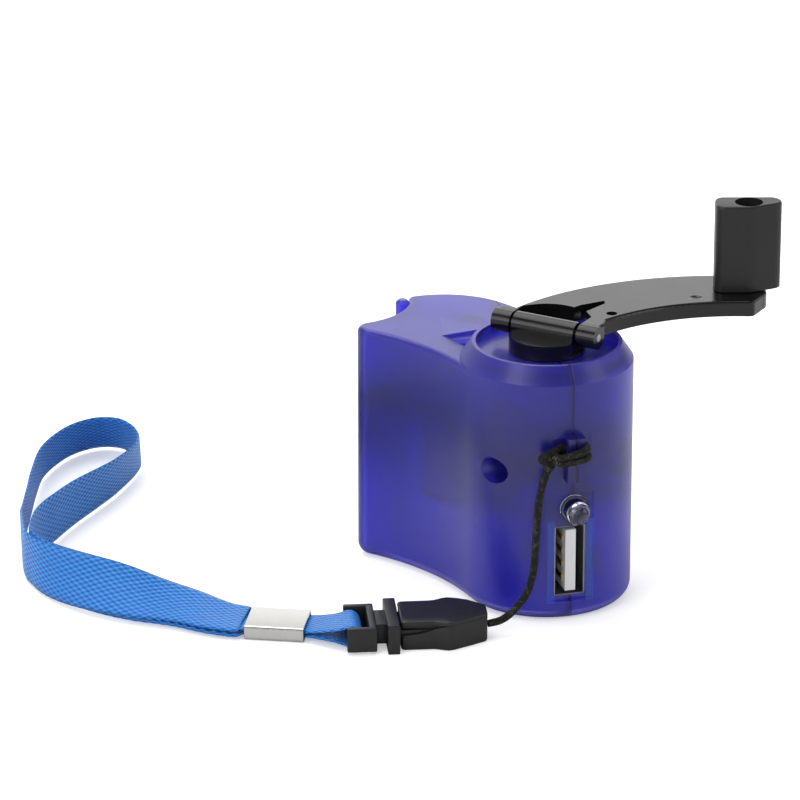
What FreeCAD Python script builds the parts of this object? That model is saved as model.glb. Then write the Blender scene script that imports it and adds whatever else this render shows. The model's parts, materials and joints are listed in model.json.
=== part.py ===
import FreeCAD, Part
import math
import os
from FreeCAD import Placement, Rotation, Vector
from Sketcher import Constraint

# Hand crank phone charger: a clear two-part case with a folding crank on top, a generator and its
# gear train inside, a USB socket and a lamp in front, and a wrist lanyard on a bracket.
# Millimetres. Origin under the crank axis on the base plane, +Z up, the case halves meet on X = 0,
# the socket faces -Y.

doc = FreeCAD.newDocument("hand_crank_charger")
dims = doc.addObject("Spreadsheet::Sheet", "dims")

SIZES = [
    ("case_radius", 15.0), ("tail_radius", 14.7), ("tail_x", -11.5), ("tail_y", 22.7),
    ("flank_radius", 45.0), ("flank_angle", 188.0), ("flank_end", 56.1), ("tail_start", 125.0),
    ("case_height", 43.0), ("wall", 1.6), ("base_fillet", 2.4), ("top_fillet", 1.0),
    ("notch_radius", 13.2), ("park_angle", 124.3), ("park_gap", 0.8),
    ("left_fillet", 2.6), ("right_fillet", 2.0), ("notch_fillet", 1.0), ("nub_radius", 1.25),
    ("bevel_start", 43.3), ("ring_top", 46.3), ("lip_radius", 12.96), ("recess_radius", 12.3),
    ("recess_floor", 44.6), ("ceiling", 41.4), ("screw_y", -8.6), ("screw_z", 26.8),
    ("screw_radius", 1.0), ("screw_head_radius", 1.9), ("screw_seat_x", -4.5),
    ("panel_y", -14.3), ("panel_half", 4.0), ("panel_bottom", 3.6), ("panel_top", 23.6),
    ("usb_height", 13.1), ("usb_width", 5.7), ("usb_depth", 13.0), ("usb_bottom", 4.25),
    ("usb_sheet", 0.3), ("usb_recess", 0.6), ("tongue_left", -0.75), ("tongue_thickness", 1.85),
    ("lamp_x", 0.5), ("lamp_z", 20.6), ("lamp_radius", 2.1), ("lamp_length", 6.6), ("lamp_reach", 2.3),
    ("bar_half", 1.6), ("bar_front", -17.3), ("bar_back", -16.2), ("bar_bottom", 26.4),
    ("bar_top", 34.4), ("eye_bottom", 29.0), ("eye_top", 33.8), ("eye_depth", 1.6),
    ("shaft_radius", 2.0), ("running_gap", 0.04), ("bush_radius", 3.2), ("shaft_bottom", 29.0),
    ("hub_radius", 6.6), ("hub_gap", 0.2), ("hub_top", 47.4), ("hub_flat", 5.95),
    ("hinge_z", 48.4), ("hinge_angle", 44.2), ("barrel_radius", 2.1), ("hinge_pin_radius", 0.7),
    ("ear_inner", 6.5), ("ear_outer", 10.0), ("arm_top", 50.4), ("arm_thickness", 2.7),
    ("edge_round", 0.5),
    ("crank_reach", 38.4), ("knob_angle", 7.0), ("knob_gap", 0.2), ("knob_height", 15.6),
    ("knob_width", 11.6), ("knob_thickness", 6.0), ("knob_corner", 1.6), ("knob_turn", -16.0),
    ("rivet_radius", 1.2), ("rivet_head_radius", 2.1), ("counterbore_radius", 2.45),
    ("counterbore_depth", 3.4),
    ("plate_bottom", 30.0), ("plate_thickness", 1.2), ("ledge_height", 1.4), ("ledge_width", 1.4),
    ("gear_module", 0.5), ("pressure_angle", 25.0), ("drive_teeth", 48), ("first_pinion_teeth", 12),
    ("first_gear_teeth", 30), ("second_pinion_teeth", 10), ("second_gear_teeth", 28),
    ("rotor_pinion_teeth", 10), ("first_angle", 100.0), ("second_angle", 112.0),
    ("rotor_angle", -100.0), ("axle_radius", 1.0), ("sleeve_radius", 1.8),
    ("drive_bottom", 38.8), ("drive_width", 2.2), ("first_bottom", 36.2), ("first_width", 2.0),
    ("second_bottom", 33.4), ("second_width", 2.0),
    ("can_radius", 9.3), ("can_bottom", 16.0), ("cap_thickness", 1.5), ("can_sheet", 0.8),
    ("stator_outer", 8.4), ("stator_inner", 7.2), ("rotor_radius", 6.6), ("rotor_bottom", 17.6),
    ("rotor_height", 10.2), ("rotor_shaft_radius", 0.75),
    ("board_x", 2.95), ("board_thickness", 1.0), ("board_bottom", 2.4), ("board_top", 23.9),
    ("board_front", -12.6), ("board_back", 6.0),
    ("cord_radius", 0.65), ("ribbon_width", 8.0), ("ribbon_thickness", 0.6), ("ribbon_layer", 0.55),
    ("tip_x", -16.2), ("tip_y", -18.2), ("buckle_turn", -11.5), ("buckle_height", 5.3),
    ("crimp_length", 10.4), ("crimp_width", 9.0), ("crimp_height", 2.6),
]
for row, (alias, size) in enumerate(SIZES, start=1):
    dims.set("A%d" % row, alias)
    dims.set("B%d" % row, str(size))
    dims.setAlias("B%d" % row, alias)
ALIASES = sorted([alias for alias, size in SIZES], key=len, reverse=True)
doc.recompute()


def full(text):
    """Expression with every size name written as dims.name."""
    words = []
    word = ""
    for char in str(text) + " ":
        if char.isalnum() or char in "_.":
            word += char
            continue
        words.append("dims." + word if word in ALIASES else word)
        words.append(char)
        word = ""
    return "".join(words).strip()


def value(text):
    """Number that an expression gives with the present sizes."""
    found = dims.evalExpression(full(text))
    return float(getattr(found, "Value", found))


def bind(thing, prop, text):
    """Tie a property to an expression of the sizes."""
    thing.setExpression(prop, full(text))


def place(thing, x="0", y="0", z="0", turn="0"):
    """Put an object at x, y, z, turned about the vertical."""
    thing.Placement = Placement(Vector(value(x), value(y), value(z)), Rotation(Vector(0, 0, 1), value(turn)))
    for prop, text in (("x", x), ("y", y), ("z", z)):
        bind(thing, "Placement.Base." + prop, text)
    if turn != "0":
        bind(thing, "Placement.Rotation.Angle", turn)
    return thing


def box(name, x0, x1, y0, y1, z0, z1):
    """Block between two corners, each coordinate an expression."""
    block = doc.addObject("Part::Box", name)
    bind(block, "Length", "(%s) - (%s)" % (x1, x0))
    bind(block, "Width", "(%s) - (%s)" % (y1, y0))
    bind(block, "Height", "(%s) - (%s)" % (z1, z0))
    return place(block, x0, y0, z0)


def rod(name, radius, length, x="0", y="0", z="0", along=(0, 0, 1)):
    """Cylinder of a radius and length that starts at x, y, z and runs along an axis."""
    cylinder = doc.addObject("Part::Cylinder", name)
    bind(cylinder, "Radius", radius)
    bind(cylinder, "Height", length)
    start = Vector(value(x), value(y), value(z))
    cylinder.Placement = Placement(start, Rotation(Vector(0, 0, 1), Vector(*along)))
    for prop, text in (("x", x), ("y", y), ("z", z)):
        bind(cylinder, "Placement.Base." + prop, text)
    return cylinder


def fuse(name, *parts):
    """One solid of several."""
    joined = doc.addObject("Part::MultiFuse", name)
    joined.Shapes = list(parts)
    joined.Refine = False
    return joined


def cut(name, base, *tools):
    """A solid less its tools."""
    tool = tools[0] if len(tools) == 1 else fuse(name + "_tools", *tools)
    result = doc.addObject("Part::Cut", name)
    result.Base = base
    result.Tool = tool
    result.Refine = False
    return result


def common(name, first, second):
    """What two solids share."""
    shared = doc.addObject("Part::MultiCommon", name)
    shared.Shapes = [first, second]
    shared.Refine = False
    return shared


def plane_of(body, role):
    """Origin plane of a body by its role."""
    return [part for part in body.Origin.OriginFeatures if part.Role == role][0]


def draw(body, name, points, role="XY_Plane"):
    """Closed outline: each point is (x, y) or (x, y, radius, bulge) when the side that leaves it is an arc."""
    sketch = body.newObject("Sketcher::SketchObject", name)
    sketch.AttachmentSupport = [(plane_of(body, role), "")]
    sketch.MapMode = "FlatFace"
    spots = [Vector(value(point[0]), value(point[1]), 0) for point in points]
    count = len(points)
    for index, point in enumerate(points):
        start = spots[index]
        end = spots[(index + 1) % count]
        if len(point) == 2:
            sketch.addGeometry(Part.LineSegment(start, end), False)
            continue
        radius = value(point[2])
        half = end.sub(start).multiply(0.5)
        side = Vector(-half.y, half.x, 0).normalize().multiply(point[3])
        depth = math.sqrt(max(radius ** 2 - half.Length ** 2, 0.0))
        lift = radius - depth if len(point) == 4 else radius + depth
        middle = start.add(half).add(side.multiply(lift))
        clockwise = middle.sub(start).cross(end.sub(middle)).z < 0
        arc = Part.Arc(end, middle, start) if clockwise else Part.Arc(start, middle, end)
        sketch.addGeometry(arc, False)
    geometry = sketch.Geometry
    ends = []
    for index, point in enumerate(points):
        shape = geometry[index]
        forward = shape.StartPoint.sub(spots[index]).Length < 1e-6
        ends.append((1, 2) if forward else (2, 1))
    for index, point in enumerate(points):
        after = (index + 1) % count
        sketch.addConstraint(Constraint("Coincident", index, ends[index][1], after, ends[after][0]))
    for index, point in enumerate(points):
        spot = spots[index]
        for kind, text, number in (("DistanceX", point[0], spot.x), ("DistanceY", point[1], spot.y)):
            slot = sketch.addConstraint(Constraint(kind, -1, 1, index, ends[index][0], number))
            sketch.setExpression("Constraints[%d]" % slot, full(text))
        if len(point) > 2:
            slot = sketch.addConstraint(Constraint("Radius", index, value(point[2])))
            sketch.setExpression("Constraints[%d]" % slot, full(point[2]))
    return sketch


def feature_of(body, kind, name, sketch, length):
    """Pad or pocket of an outline by a length."""
    feature = body.newObject("PartDesign::" + kind, name)
    feature.Profile = sketch
    bind(feature, "Length", length)
    return feature


def prism(name, points, z0, height, x="0", y="0", turn="0"):
    """Body with one padded outline standing on z0."""
    body = doc.addObject("PartDesign::Body", name)
    feature_of(body, "Pad", name + "_pad", draw(body, name + "_outline", points), height)
    return place(body, x, y, z0, turn)


def spin(name, points, x="0", y="0"):
    """Body turned about the vertical from (radius, z) points."""
    body = doc.addObject("PartDesign::Body", name)
    sketch = draw(body, name + "_profile", points, "XZ_Plane")
    turned = body.newObject("PartDesign::Revolution", name + "_turn")
    turned.Profile = sketch
    turned.ReferenceAxis = (sketch, ["V_Axis"])
    turned.Angle = 360.0
    return place(body, x, y, "0")


def edges_where(shape, test):
    """Names of the edges of a shape whose middle point passes a test."""
    names = []
    for index, edge in enumerate(shape.Edges, start=1):
        middle = edge.valueAt(0.5 * (edge.FirstParameter + edge.LastParameter))
        if test(edge, middle):
            names.append("Edge%d" % index)
    return names


def round_off(body, name, source, names, radius):
    """Fillet of named edges in a body."""
    fillet = body.newObject("PartDesign::Fillet", name)
    fillet.Base = (source, names)
    bind(fillet, "Radius", radius)
    doc.recompute()
    return fillet


def ease_top(body, height):
    """Round the edges of a prism's top face, which stands a height over its sketch."""
    doc.recompute()
    level = body.Placement.Base.z + value(height)
    tip = body.Tip
    names = edges_where(tip.Shape, lambda edge, middle: abs(middle.z + body.Placement.Base.z - level) < 0.001)
    body.Tip = round_off(body, body.Name + "_ease", tip, names, "edge_round")
    return body


def finish(thing, node):
    """Give an object the node name it is written under."""
    thing.Label = node
    return thing


# ---- outer form of the case -------------------------------------------------------------------
# Round front lobe, hollow left flank, straight right side and round tail, all tangent.
FLANK_X = "(case_radius + flank_radius) * cos(flank_angle)"
FLANK_Y = "(case_radius + flank_radius) * sin(flank_angle)"
TAIL_SPAN = "sqrt(tail_x^2 + tail_y^2)"
TAIL_HEADING = "(180 deg - atan(tail_y / abs(tail_x)))"
SIDE = "(%s - acos((case_radius - tail_radius) / %s))" % (TAIL_HEADING, TAIL_SPAN)
NOTCH_REACH = "(crank_reach - knob_thickness / 2 - park_gap + notch_radius)"
NOTCH_X = "%s * cos(park_angle)" % NOTCH_REACH
NOTCH_Y = "%s * sin(park_angle)" % NOTCH_REACH


def case_outline(inset):
    """Outline of the case moved inward by an inset."""
    lobe = "(case_radius - %s)" % inset
    tail = "(tail_radius - %s)" % inset
    flank = "(flank_radius + %s)" % inset
    return [
        ("%s * cos(flank_angle)" % lobe, "%s * sin(flank_angle)" % lobe, flank, -1),
        ("%s + %s * cos(flank_end)" % (FLANK_X, flank), "%s + %s * sin(flank_end)" % (FLANK_Y, flank)),
        ("tail_x + %s * cos(tail_start)" % tail, "tail_y + %s * sin(tail_start)" % tail, tail, 1),
        ("tail_x + %s * cos(%s)" % (tail, SIDE), "tail_y + %s * sin(%s)" % (tail, SIDE)),
        ("%s * cos(%s)" % (lobe, SIDE), "%s * sin(%s)" % (lobe, SIDE), lobe, 1, "long"),
    ]


def case_body(name, inset, z0, height, corner_left, corner_right):
    """Upright solid of the case outline with the knob notch taken out and its corners rounded."""
    body = doc.addObject("PartDesign::Body", name)
    pad = feature_of(body, "Pad", name + "_pad", draw(body, name + "_outline", case_outline(inset)), height)
    circle = body.newObject("Sketcher::SketchObject", name + "_notch_circle")
    circle.AttachmentSupport = [(plane_of(body, "XY_Plane"), "")]
    circle.MapMode = "FlatFace"
    centre = Vector(value(NOTCH_X), value(NOTCH_Y), 0)
    reach = "notch_radius + %s" % inset
    circle.addGeometry(Part.Circle(centre, Vector(0, 0, 1), value(reach)), False)
    for kind, text, number in (("DistanceX", NOTCH_X, centre.x), ("DistanceY", NOTCH_Y, centre.y)):
        slot = circle.addConstraint(Constraint(kind, -1, 1, 0, 3, number))
        circle.setExpression("Constraints[%d]" % slot, full(text))
    slot = circle.addConstraint(Constraint("Radius", 0, value(reach)))
    circle.setExpression("Constraints[%d]" % slot, full(reach))
    pocket = feature_of(body, "Pocket", name + "_notch", circle, height)
    pocket.Reversed = True
    doc.recompute()
    rim = value(reach)
    last = pocket

    def on_rim(edge, middle, low):
        upright = abs(edge.tangentAt(edge.FirstParameter).z) > 0.99
        near = abs(Vector(middle.x, middle.y, 0).sub(centre).Length - rim) < 0.01
        return upright and near and (middle.x < centre.x + rim / 2) == low

    for low, radius in ((True, corner_left), (False, corner_right)):
        names = edges_where(last.Shape, lambda edge, middle: on_rim(edge, middle, low))
        last = round_off(body, "%s_corner_%s" % (name, "left" if low else "right"), last, names, radius)
    body.Tip = last
    place(body, "0", "0", z0)
    return body, last


outer_body, last = case_body("outer", "0", "0", "case_height", "left_fillet", "notch_fillet")
base_edges = edges_where(last.Shape, lambda edge, middle: middle.z < 0.001)
last = round_off(outer_body, "outer_base_round", last, base_edges, "base_fillet")
top_z = value("case_height")
top_edges = edges_where(last.Shape, lambda edge, middle: middle.z > top_z - 0.001)
last = round_off(outer_body, "outer_top_round", last, top_edges, "top_fillet")
outer_body.Tip = last

# A small round nub stands on the right corner of the notch and keeps the parked knob in.
NUB_INSET = "(nub_radius + 0.1)"
NUB_HEADING = "107.4"
nub = spin("nub", [("0", "base_fillet"), ("nub_radius - edge_round", "base_fillet"),
                   ("nub_radius", "base_fillet + edge_round"), ("nub_radius", "case_height - edge_round"),
                   ("nub_radius - edge_round", "case_height"), ("0", "case_height")],
           "tail_x + (tail_radius - %s) * cos(%s)" % (NUB_INSET, NUB_HEADING),
           "tail_y + (tail_radius - %s) * sin(%s)" % (NUB_INSET, NUB_HEADING))
ring = spin("ring", [("0", "case_height - 2 * top_fillet"), ("case_radius", "case_height - 2 * top_fillet"),
                     ("case_radius", "bevel_start"), ("lip_radius", "ring_top"), ("0", "ring_top")])


# Two flat ramps rise from the tail top to the lip of the ring. The near one ends in a small step.
RAMP_FOOT = "case_height - top_fillet"
RAMP_TALL = "ring_top - case_height + top_fillet"
NEAR_POINT = ("-14.2", "15.8")
FAR_POINT = ("-11.7", "25.0")
SIDE_POINT = ("-3.5", "15.8")
LIP_POINT = ("-7.1", "9.0")
CREASE_POINT = ("-12.3", "10.9")


def ramp(name, foot_points, *planes):
    """Upright block cut down to planes, each given by three points with their heights."""
    block = prism(name + "_block", foot_points, RAMP_FOOT, RAMP_TALL)
    slabs = []
    for number, plane in enumerate(planes, start=1):
        first, second, third = [Vector(value(x), value(y), value(z)) for x, y, z in plane]
        normal = second.sub(first).cross(third.sub(first)).normalize()
        turn = Rotation(Vector(0, 0, 1), normal if normal.z > 0 else normal.negative())
        slab = doc.addObject("Part::Box", "%s_slab_%d" % (name, number))
        bind(slab, "Length", "8 * case_radius")
        bind(slab, "Width", "8 * case_radius")
        bind(slab, "Height", "case_radius")
        half = 4 * value("case_radius")
        slab.Placement = Placement(first.sub(turn.multVec(Vector(half, half, 0))), turn)
        slabs.append(slab)
    return cut(name, block, *slabs)


LOW = "case_height"
HIGH = "ring_top - 0.1"
SUNK = "case_height - 0.6"
high_ramp = ramp("high_ramp", [NEAR_POINT, FAR_POINT, SIDE_POINT, LIP_POINT],
                 (NEAR_POINT + (LOW,), FAR_POINT + (LOW,), LIP_POINT + (HIGH,)),
                 (FAR_POINT + (LOW,), SIDE_POINT + (LOW,), LIP_POINT + (HIGH,)))
low_ramp = ramp("low_ramp", [NEAR_POINT, LIP_POINT, ("-9.0", "6.5"), CREASE_POINT],
                (NEAR_POINT + (LOW,), CREASE_POINT + (LOW,), ("-8.6", "8.8", "ring_top - 0.8")),
                (NEAR_POINT + (SUNK,), FAR_POINT + (SUNK,), LIP_POINT + ("ring_top - 0.8",)))

solid_form = fuse("solid_form", outer_body, nub, ring, high_ramp, low_ramp)

# ---- cavity -----------------------------------------------------------------------------------
cavity_tail, _ = case_body("cavity_tail", "wall", "wall", "ceiling - wall", "left_fillet - wall",
                           "right_fillet")
cavity_lobe = rod("cavity_lobe", "case_radius - wall", "recess_floor - wall - ceiling + 1", "0", "0",
                  "ceiling - 1")
cavity = fuse("cavity", cavity_tail, cavity_lobe)
recess = rod("recess", "recess_radius", "10", "0", "0", "recess_floor")
top_hole = rod("top_hole", "bush_radius", "8", "0", "0", "recess_floor - wall - 2")

# ---- features of the front --------------------------------------------------------------------
panel_cut = box("panel_cut", "-panel_half", "panel_half", "panel_y - 5", "panel_y", "panel_bottom", "panel_top")
usb_hole = box("usb_hole", "-usb_width / 2", "usb_width / 2", "panel_y - 5", "panel_y + 4",
               "usb_bottom", "usb_bottom + usb_height")
lamp_hole = rod("lamp_hole", "lamp_radius + 0.1", "8", "lamp_x", "panel_y - 4", "lamp_z", (0, 1, 0))
bar = box("bar", "-bar_half", "bar_half", "bar_front", "-case_radius + 0.6", "bar_bottom", "bar_top")
eye = box("eye", "-bar_half - 4", "bar_half + 4", "bar_back", "bar_back + eye_depth", "eye_bottom", "eye_top")

# ---- gear centres -----------------------------------------------------------------------------
FIRST_REACH = "gear_module * (drive_teeth + first_pinion_teeth) / 2"
SECOND_REACH = "gear_module * (first_gear_teeth + second_pinion_teeth) / 2"
ROTOR_REACH = "gear_module * (second_gear_teeth + rotor_pinion_teeth) / 2"
FIRST_X = "(%s * cos(first_angle))" % FIRST_REACH
FIRST_Y = "(%s * sin(first_angle))" % FIRST_REACH
SECOND_X = "(%s + %s * cos(second_angle))" % (FIRST_X, SECOND_REACH)
SECOND_Y = "(%s + %s * sin(second_angle))" % (FIRST_Y, SECOND_REACH)
ROTOR_X = "(%s + %s * cos(rotor_angle))" % (SECOND_X, ROTOR_REACH)
ROTOR_Y = "(%s + %s * sin(rotor_angle))" % (SECOND_Y, ROTOR_REACH)

# ---- inside of the shells ---------------------------------------------------------------------
ledge_outer, _ = case_body("ledge_outer", "(wall - 0.2)", "plate_bottom - ledge_height", "ledge_height",
                           "left_fillet - wall", "right_fillet")
ledge_inner, _ = case_body("ledge_inner", "(wall + ledge_width)", "plate_bottom - ledge_height - 1",
                           "ledge_height + 2", "0.5", "right_fillet")
can_room = rod("can_room", "can_radius + 0.6", "ledge_height + 2", ROTOR_X, ROTOR_Y,
               "plate_bottom - ledge_height - 1")
ledge = cut("ledge", ledge_outer, ledge_inner, can_room)
boss = rod("boss", "2.8", "2 * case_radius", "-case_radius", "screw_y", "screw_z", (1, 0, 0))
post_low = rod("post_low", "1.2", "case_radius", "board_x + board_thickness", "-8", "20.5", (1, 0, 0))
post_high = rod("post_high", "1.2", "case_radius", "board_x + board_thickness", "3.5", "20.5", (1, 0, 0))
SECOND_BOSS_BOTTOM = "first_bottom + first_width + 1"
SECOND_AXLE_LENGTH = SECOND_BOSS_BOTTOM + " + 0.4 - plate_bottom"
second_boss = rod("second_boss", "axle_radius + 1", "ceiling + 0.1 - (%s)" % SECOND_BOSS_BOTTOM, SECOND_X,
                  SECOND_Y, SECOND_BOSS_BOTTOM)
inner_posts = fuse("inner_posts", boss, post_low, post_high, second_boss)
inside = common("inside", solid_form, inner_posts)
hollow = cut("hollow", solid_form, cavity)
rough_case = fuse("rough_case", hollow, inside, ledge, bar)

second_hole = rod("second_hole", "axle_radius", SECOND_AXLE_LENGTH, SECOND_X, SECOND_Y, "plate_bottom")
axle_room = rod("axle_room", "axle_radius", "12", FIRST_X, FIRST_Y, "plate_bottom")
screw_bore = rod("screw_bore", "screw_head_radius + 0.4", "case_radius + screw_seat_x", "-case_radius",
                 "screw_y", "screw_z", (1, 0, 0))
screw_shank = rod("screw_shank", "screw_radius", "14.5", "-case_radius + 4", "screw_y", "screw_z", (1, 0, 0))
case_solid = cut("case_solid", rough_case, recess, top_hole, panel_cut, usb_hole, lamp_hole, eye, second_hole,
                 axle_room, screw_bore, screw_shank)
left_half = box("left_half", "-80", "0", "-60", "90", "-1", "60")
right_half = box("right_half", "0", "80", "-60", "90", "-1", "60")
finish(common("shell_left_solid", case_solid, left_half), "shell_left")
finish(common("shell_right_solid", case_solid, right_half), "shell_right")

screw_head = rod("screw_head", "screw_head_radius", "1.3", "screw_seat_x - 1.3", "screw_y", "screw_z",
                 (1, 0, 0))
screw_stem = rod("screw_stem", "screw_radius", "7.6", "screw_seat_x - 0.1", "screw_y", "screw_z", (1, 0, 0))
screw_slot = box("screw_slot", "screw_seat_x - 1.4", "screw_seat_x - 0.8", "screw_y - 3", "screw_y + 3",
                 "screw_z - 0.25", "screw_z + 0.25")
finish(cut("housing_screw_solid", fuse("screw_blank", screw_head, screw_stem), screw_slot), "housing_screw")

# ---- crank: hub, pin, arm, knob ---------------------------------------------------------------
hub_disc = rod("hub_disc", "hub_radius", "hub_top - recess_floor - hub_gap", "0", "0", "recess_floor + hub_gap")


def hinge_block(name, x0, x1, y0, y1, z0, z1):
    """Block set out along the hinge: x across it, y along it."""
    points = [(x0, y0), (x1, y0), (x1, y1), (x0, y1)]
    return prism(name, points, z0, "(%s) - (%s)" % (z1, z0), "0", "0", "hinge_angle")


flat_band = hinge_block("flat_band", "-20", "20", "-hub_flat", "hub_flat", "recess_floor + hub_gap + 0.5", "60")
foot_band = rod("foot_band", "20", "hub_gap + 0.5", "0", "0", "recess_floor")
hub_round = common("hub_round", hub_disc, fuse("hub_keep", flat_band, foot_band))
ALONG_HINGE = (-math.sin(math.radians(value("hinge_angle"))), math.cos(math.radians(value("hinge_angle"))), 0)


def hinge_rod(name, radius, start, length):
    """Cylinder along the heading of the hinge from a start distance."""
    return rod(name, radius, length, "-(%s) * sin(hinge_angle)" % start, "(%s) * cos(hinge_angle)" % start,
               "hinge_z", ALONG_HINGE)


def from_hinge(along, across):
    """Place on the arm: a distance out from the hinge and one along it."""
    return ("(%s) * cos(hinge_angle) - (%s) * sin(hinge_angle)" % (along, across),
            "(%s) * sin(hinge_angle) + (%s) * cos(hinge_angle)" % (along, across))


barrel = hinge_rod("barrel", "barrel_radius", "-hub_flat", "2 * hub_flat")
neck = hinge_block("neck", "-barrel_radius", "barrel_radius", "-hub_flat", "hub_flat", "hub_top - 0.5",
                   "hinge_z")
hub_blank = fuse("hub_blank", hub_round, barrel, neck)
shaft_socket = rod("shaft_socket", "shaft_radius", "hub_top - recess_floor - hub_gap - 0.4", "0", "0",
                   "recess_floor + hub_gap")
pin_socket = hinge_rod("pin_socket", "hinge_pin_radius", "-12", "24")
finish(cut("crank_hub_solid", hub_blank, shaft_socket, pin_socket), "crank_hub")
finish(hinge_rod("hinge_pin_solid", "hinge_pin_radius", "-ear_outer", "2 * ear_outer"), "hinge_pin")

# The arm is a flat bow, wider at the hinge than at the knob: x runs out along it, y along the hinge.
ARM_POINTS = [("0", "ear_outer"), ("2.0", "ear_outer"), ("2.1", "7.3", "46.7", 1), ("34.4", "-16.3", "7.4", 1),
              ("32.5", "-25.6", "4.2", 1), ("28.6", "-27.3"), ("25.3", "-27.4", "1.2", 1),
              ("24.2", "-26.7", "33.6", -1), ("4.0", "-9.4"),
              ("2.0", "-ear_outer"), ("0", "-ear_outer")]
arm_plate = prism("arm_plate", ARM_POINTS, "arm_top - arm_thickness", "arm_thickness", "0", "0", "hinge_angle")
ease_top(arm_plate, "arm_thickness")
WINDOW = [("-6", "ear_inner"), ("3.4", "ear_inner"), ("4.6", "5.3", "7.05", 1), ("6.9", "-1.6"), ("8.5", "-2.1"),
          ("12.4", "-4.6"), ("11.3", "-5.4"), ("6.1", "-4.4"), ("4.0", "-ear_inner"), ("-6", "-ear_inner")]
window = prism("window", WINDOW, "40", "20", "0", "0", "hinge_angle")
ears = hinge_rod("ears", "arm_top - hinge_z", "-ear_outer", "2 * ear_outer")
arm_bore = hinge_rod("arm_bore", "hinge_pin_radius + running_gap", "-12", "24")
KNOB_X = "crank_reach * cos(knob_angle)"
KNOB_Y = "crank_reach * sin(knob_angle)"
rivet_hole = rod("rivet_hole", "rivet_radius", "10", KNOB_X, KNOB_Y, "arm_top - 6")
dimple = doc.addObject("Part::Sphere", "dimple")
bind(dimple, "Radius", "3")
place(dimple, *from_hinge("21.6", "-17.8"), "arm_top + 2.75")
pip_hole = rod("pip_hole", "0.95", "2", *from_hinge("7.3", "-8.7"), "arm_top - 0.8")
arm_blank = fuse("arm_blank", arm_plate, ears)
finish(cut("crank_arm_solid", arm_blank, window, arm_bore, rivet_hole, dimple, pip_hole), "crank_arm")

KNOB_BOTTOM = "arm_top + knob_gap"


def rounded(half_x, half_y, corner):
    """Rectangle with round corners."""
    inner_x = "%s - %s" % (half_x, corner)
    inner_y = "%s - %s" % (half_y, corner)
    return [
        ("-(%s)" % inner_x, "-" + half_y), (inner_x, "-" + half_y, corner, -1),
        (half_x, "-(%s)" % inner_y), (half_x, inner_y, corner, -1),
        (inner_x, half_y), ("-(%s)" % inner_x, half_y, corner, -1),
        ("-" + half_x, inner_y), ("-" + half_x, "-(%s)" % inner_y, corner, -1),
    ]


# The knob has a flat on the left of its front; the right of it falls back to a well-rounded end.
KNOB_OUTLINE = [("-knob_width / 2", "-knob_thickness / 2"), ("0.5", "-knob_thickness / 2"),
                ("knob_width / 2", "-knob_thickness / 2 + 2.5"), ("knob_width / 2", "knob_thickness / 2"),
                ("-knob_width / 2", "knob_thickness / 2")]
knob_blank = prism("knob_blank", KNOB_OUTLINE, KNOB_BOTTOM, "knob_height", KNOB_X, KNOB_Y, "knob_turn")
doc.recompute()
for side, low, high, radius in (("left", -9, -1, "knob_corner"), ("right", 1, 9, "1.25 * knob_corner"),
                                      ("front", -1, 1, "3 * knob_corner")):
    upright = edges_where(knob_blank.Tip.Shape, lambda edge, middle: low < middle.x < high
                          and abs(edge.tangentAt(edge.FirstParameter).z) > 0.99)
    knob_blank.Tip = round_off(knob_blank, "knob_round_" + side, knob_blank.Tip, upright, radius)
ease_top(knob_blank, "knob_height")
knob_bore = rod("knob_bore", "rivet_radius + running_gap", "knob_height + 2", KNOB_X, KNOB_Y,
                KNOB_BOTTOM + " - 1")
knob_counterbore = rod("knob_counterbore", "counterbore_radius", "counterbore_depth + 1", KNOB_X, KNOB_Y,
                       KNOB_BOTTOM + " + knob_height - counterbore_depth")
finish(cut("knob_solid", knob_blank, knob_bore, knob_counterbore), "knob")
RIVET_LENGTH = "arm_thickness + knob_gap + knob_height - counterbore_depth + 0.2"
rivet_stem = rod("rivet_stem", "rivet_radius", RIVET_LENGTH, KNOB_X, KNOB_Y, "arm_top - arm_thickness")
rivet_head = rod("rivet_head", "rivet_head_radius", "0.9", KNOB_X, KNOB_Y,
                 KNOB_BOTTOM + " + knob_height - counterbore_depth + 0.1")
finish(fuse("knob_pin_solid", rivet_stem, rivet_head), "knob_pin")

# ---- shaft, bushes, clip ----------------------------------------------------------------------
shaft_rod = rod("shaft_rod", "shaft_radius", "hub_top - 0.4 - shaft_bottom", "0", "0", "shaft_bottom")
clip_groove_ring = rod("clip_groove_ring", "shaft_radius + 1", "0.6", "0", "0", "plate_bottom - 0.65")
clip_groove_core = rod("clip_groove_core", "shaft_radius - 0.4", "0.6", "0", "0", "plate_bottom - 0.65")
clip_groove = cut("clip_groove", clip_groove_ring, clip_groove_core)
finish(cut("crank_shaft_solid", shaft_rod, clip_groove), "crank_shaft")
clip_disc = rod("clip_disc", "shaft_radius + 1.5", "0.55", "0", "0", "plate_bottom - 0.63")
clip_core = rod("clip_core", "shaft_radius - 0.4", "2", "0", "0", "plate_bottom - 1.5")
clip_mouth = box("clip_mouth", "-1.2", "1.2", "0", "6", "plate_bottom - 2", "plate_bottom")
finish(cut("shaft_clip_solid", clip_disc, clip_core, clip_mouth), "shaft_clip")
top_sleeve = rod("top_sleeve", "bush_radius", "wall", "0", "0", "recess_floor - wall")
top_bore = rod("top_bore", "shaft_radius + running_gap", "6", "0", "0", "recess_floor - wall - 2")
finish(cut("top_bush_solid", top_sleeve, top_bore), "top_bush")
low_sleeve = rod("low_sleeve", "bush_radius", "plate_thickness", "0", "0", "plate_bottom")
low_bore = rod("low_bore", "shaft_radius + running_gap", "6", "0", "0", "plate_bottom - 2")
finish(cut("lower_bush_solid", low_sleeve, low_bore), "lower_bush")

# ---- gears ------------------------------------------------------------------------------------
ADDENDUM = 0.8
DEDENDUM = 1.0
BACKLASH = 0.12


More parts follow.
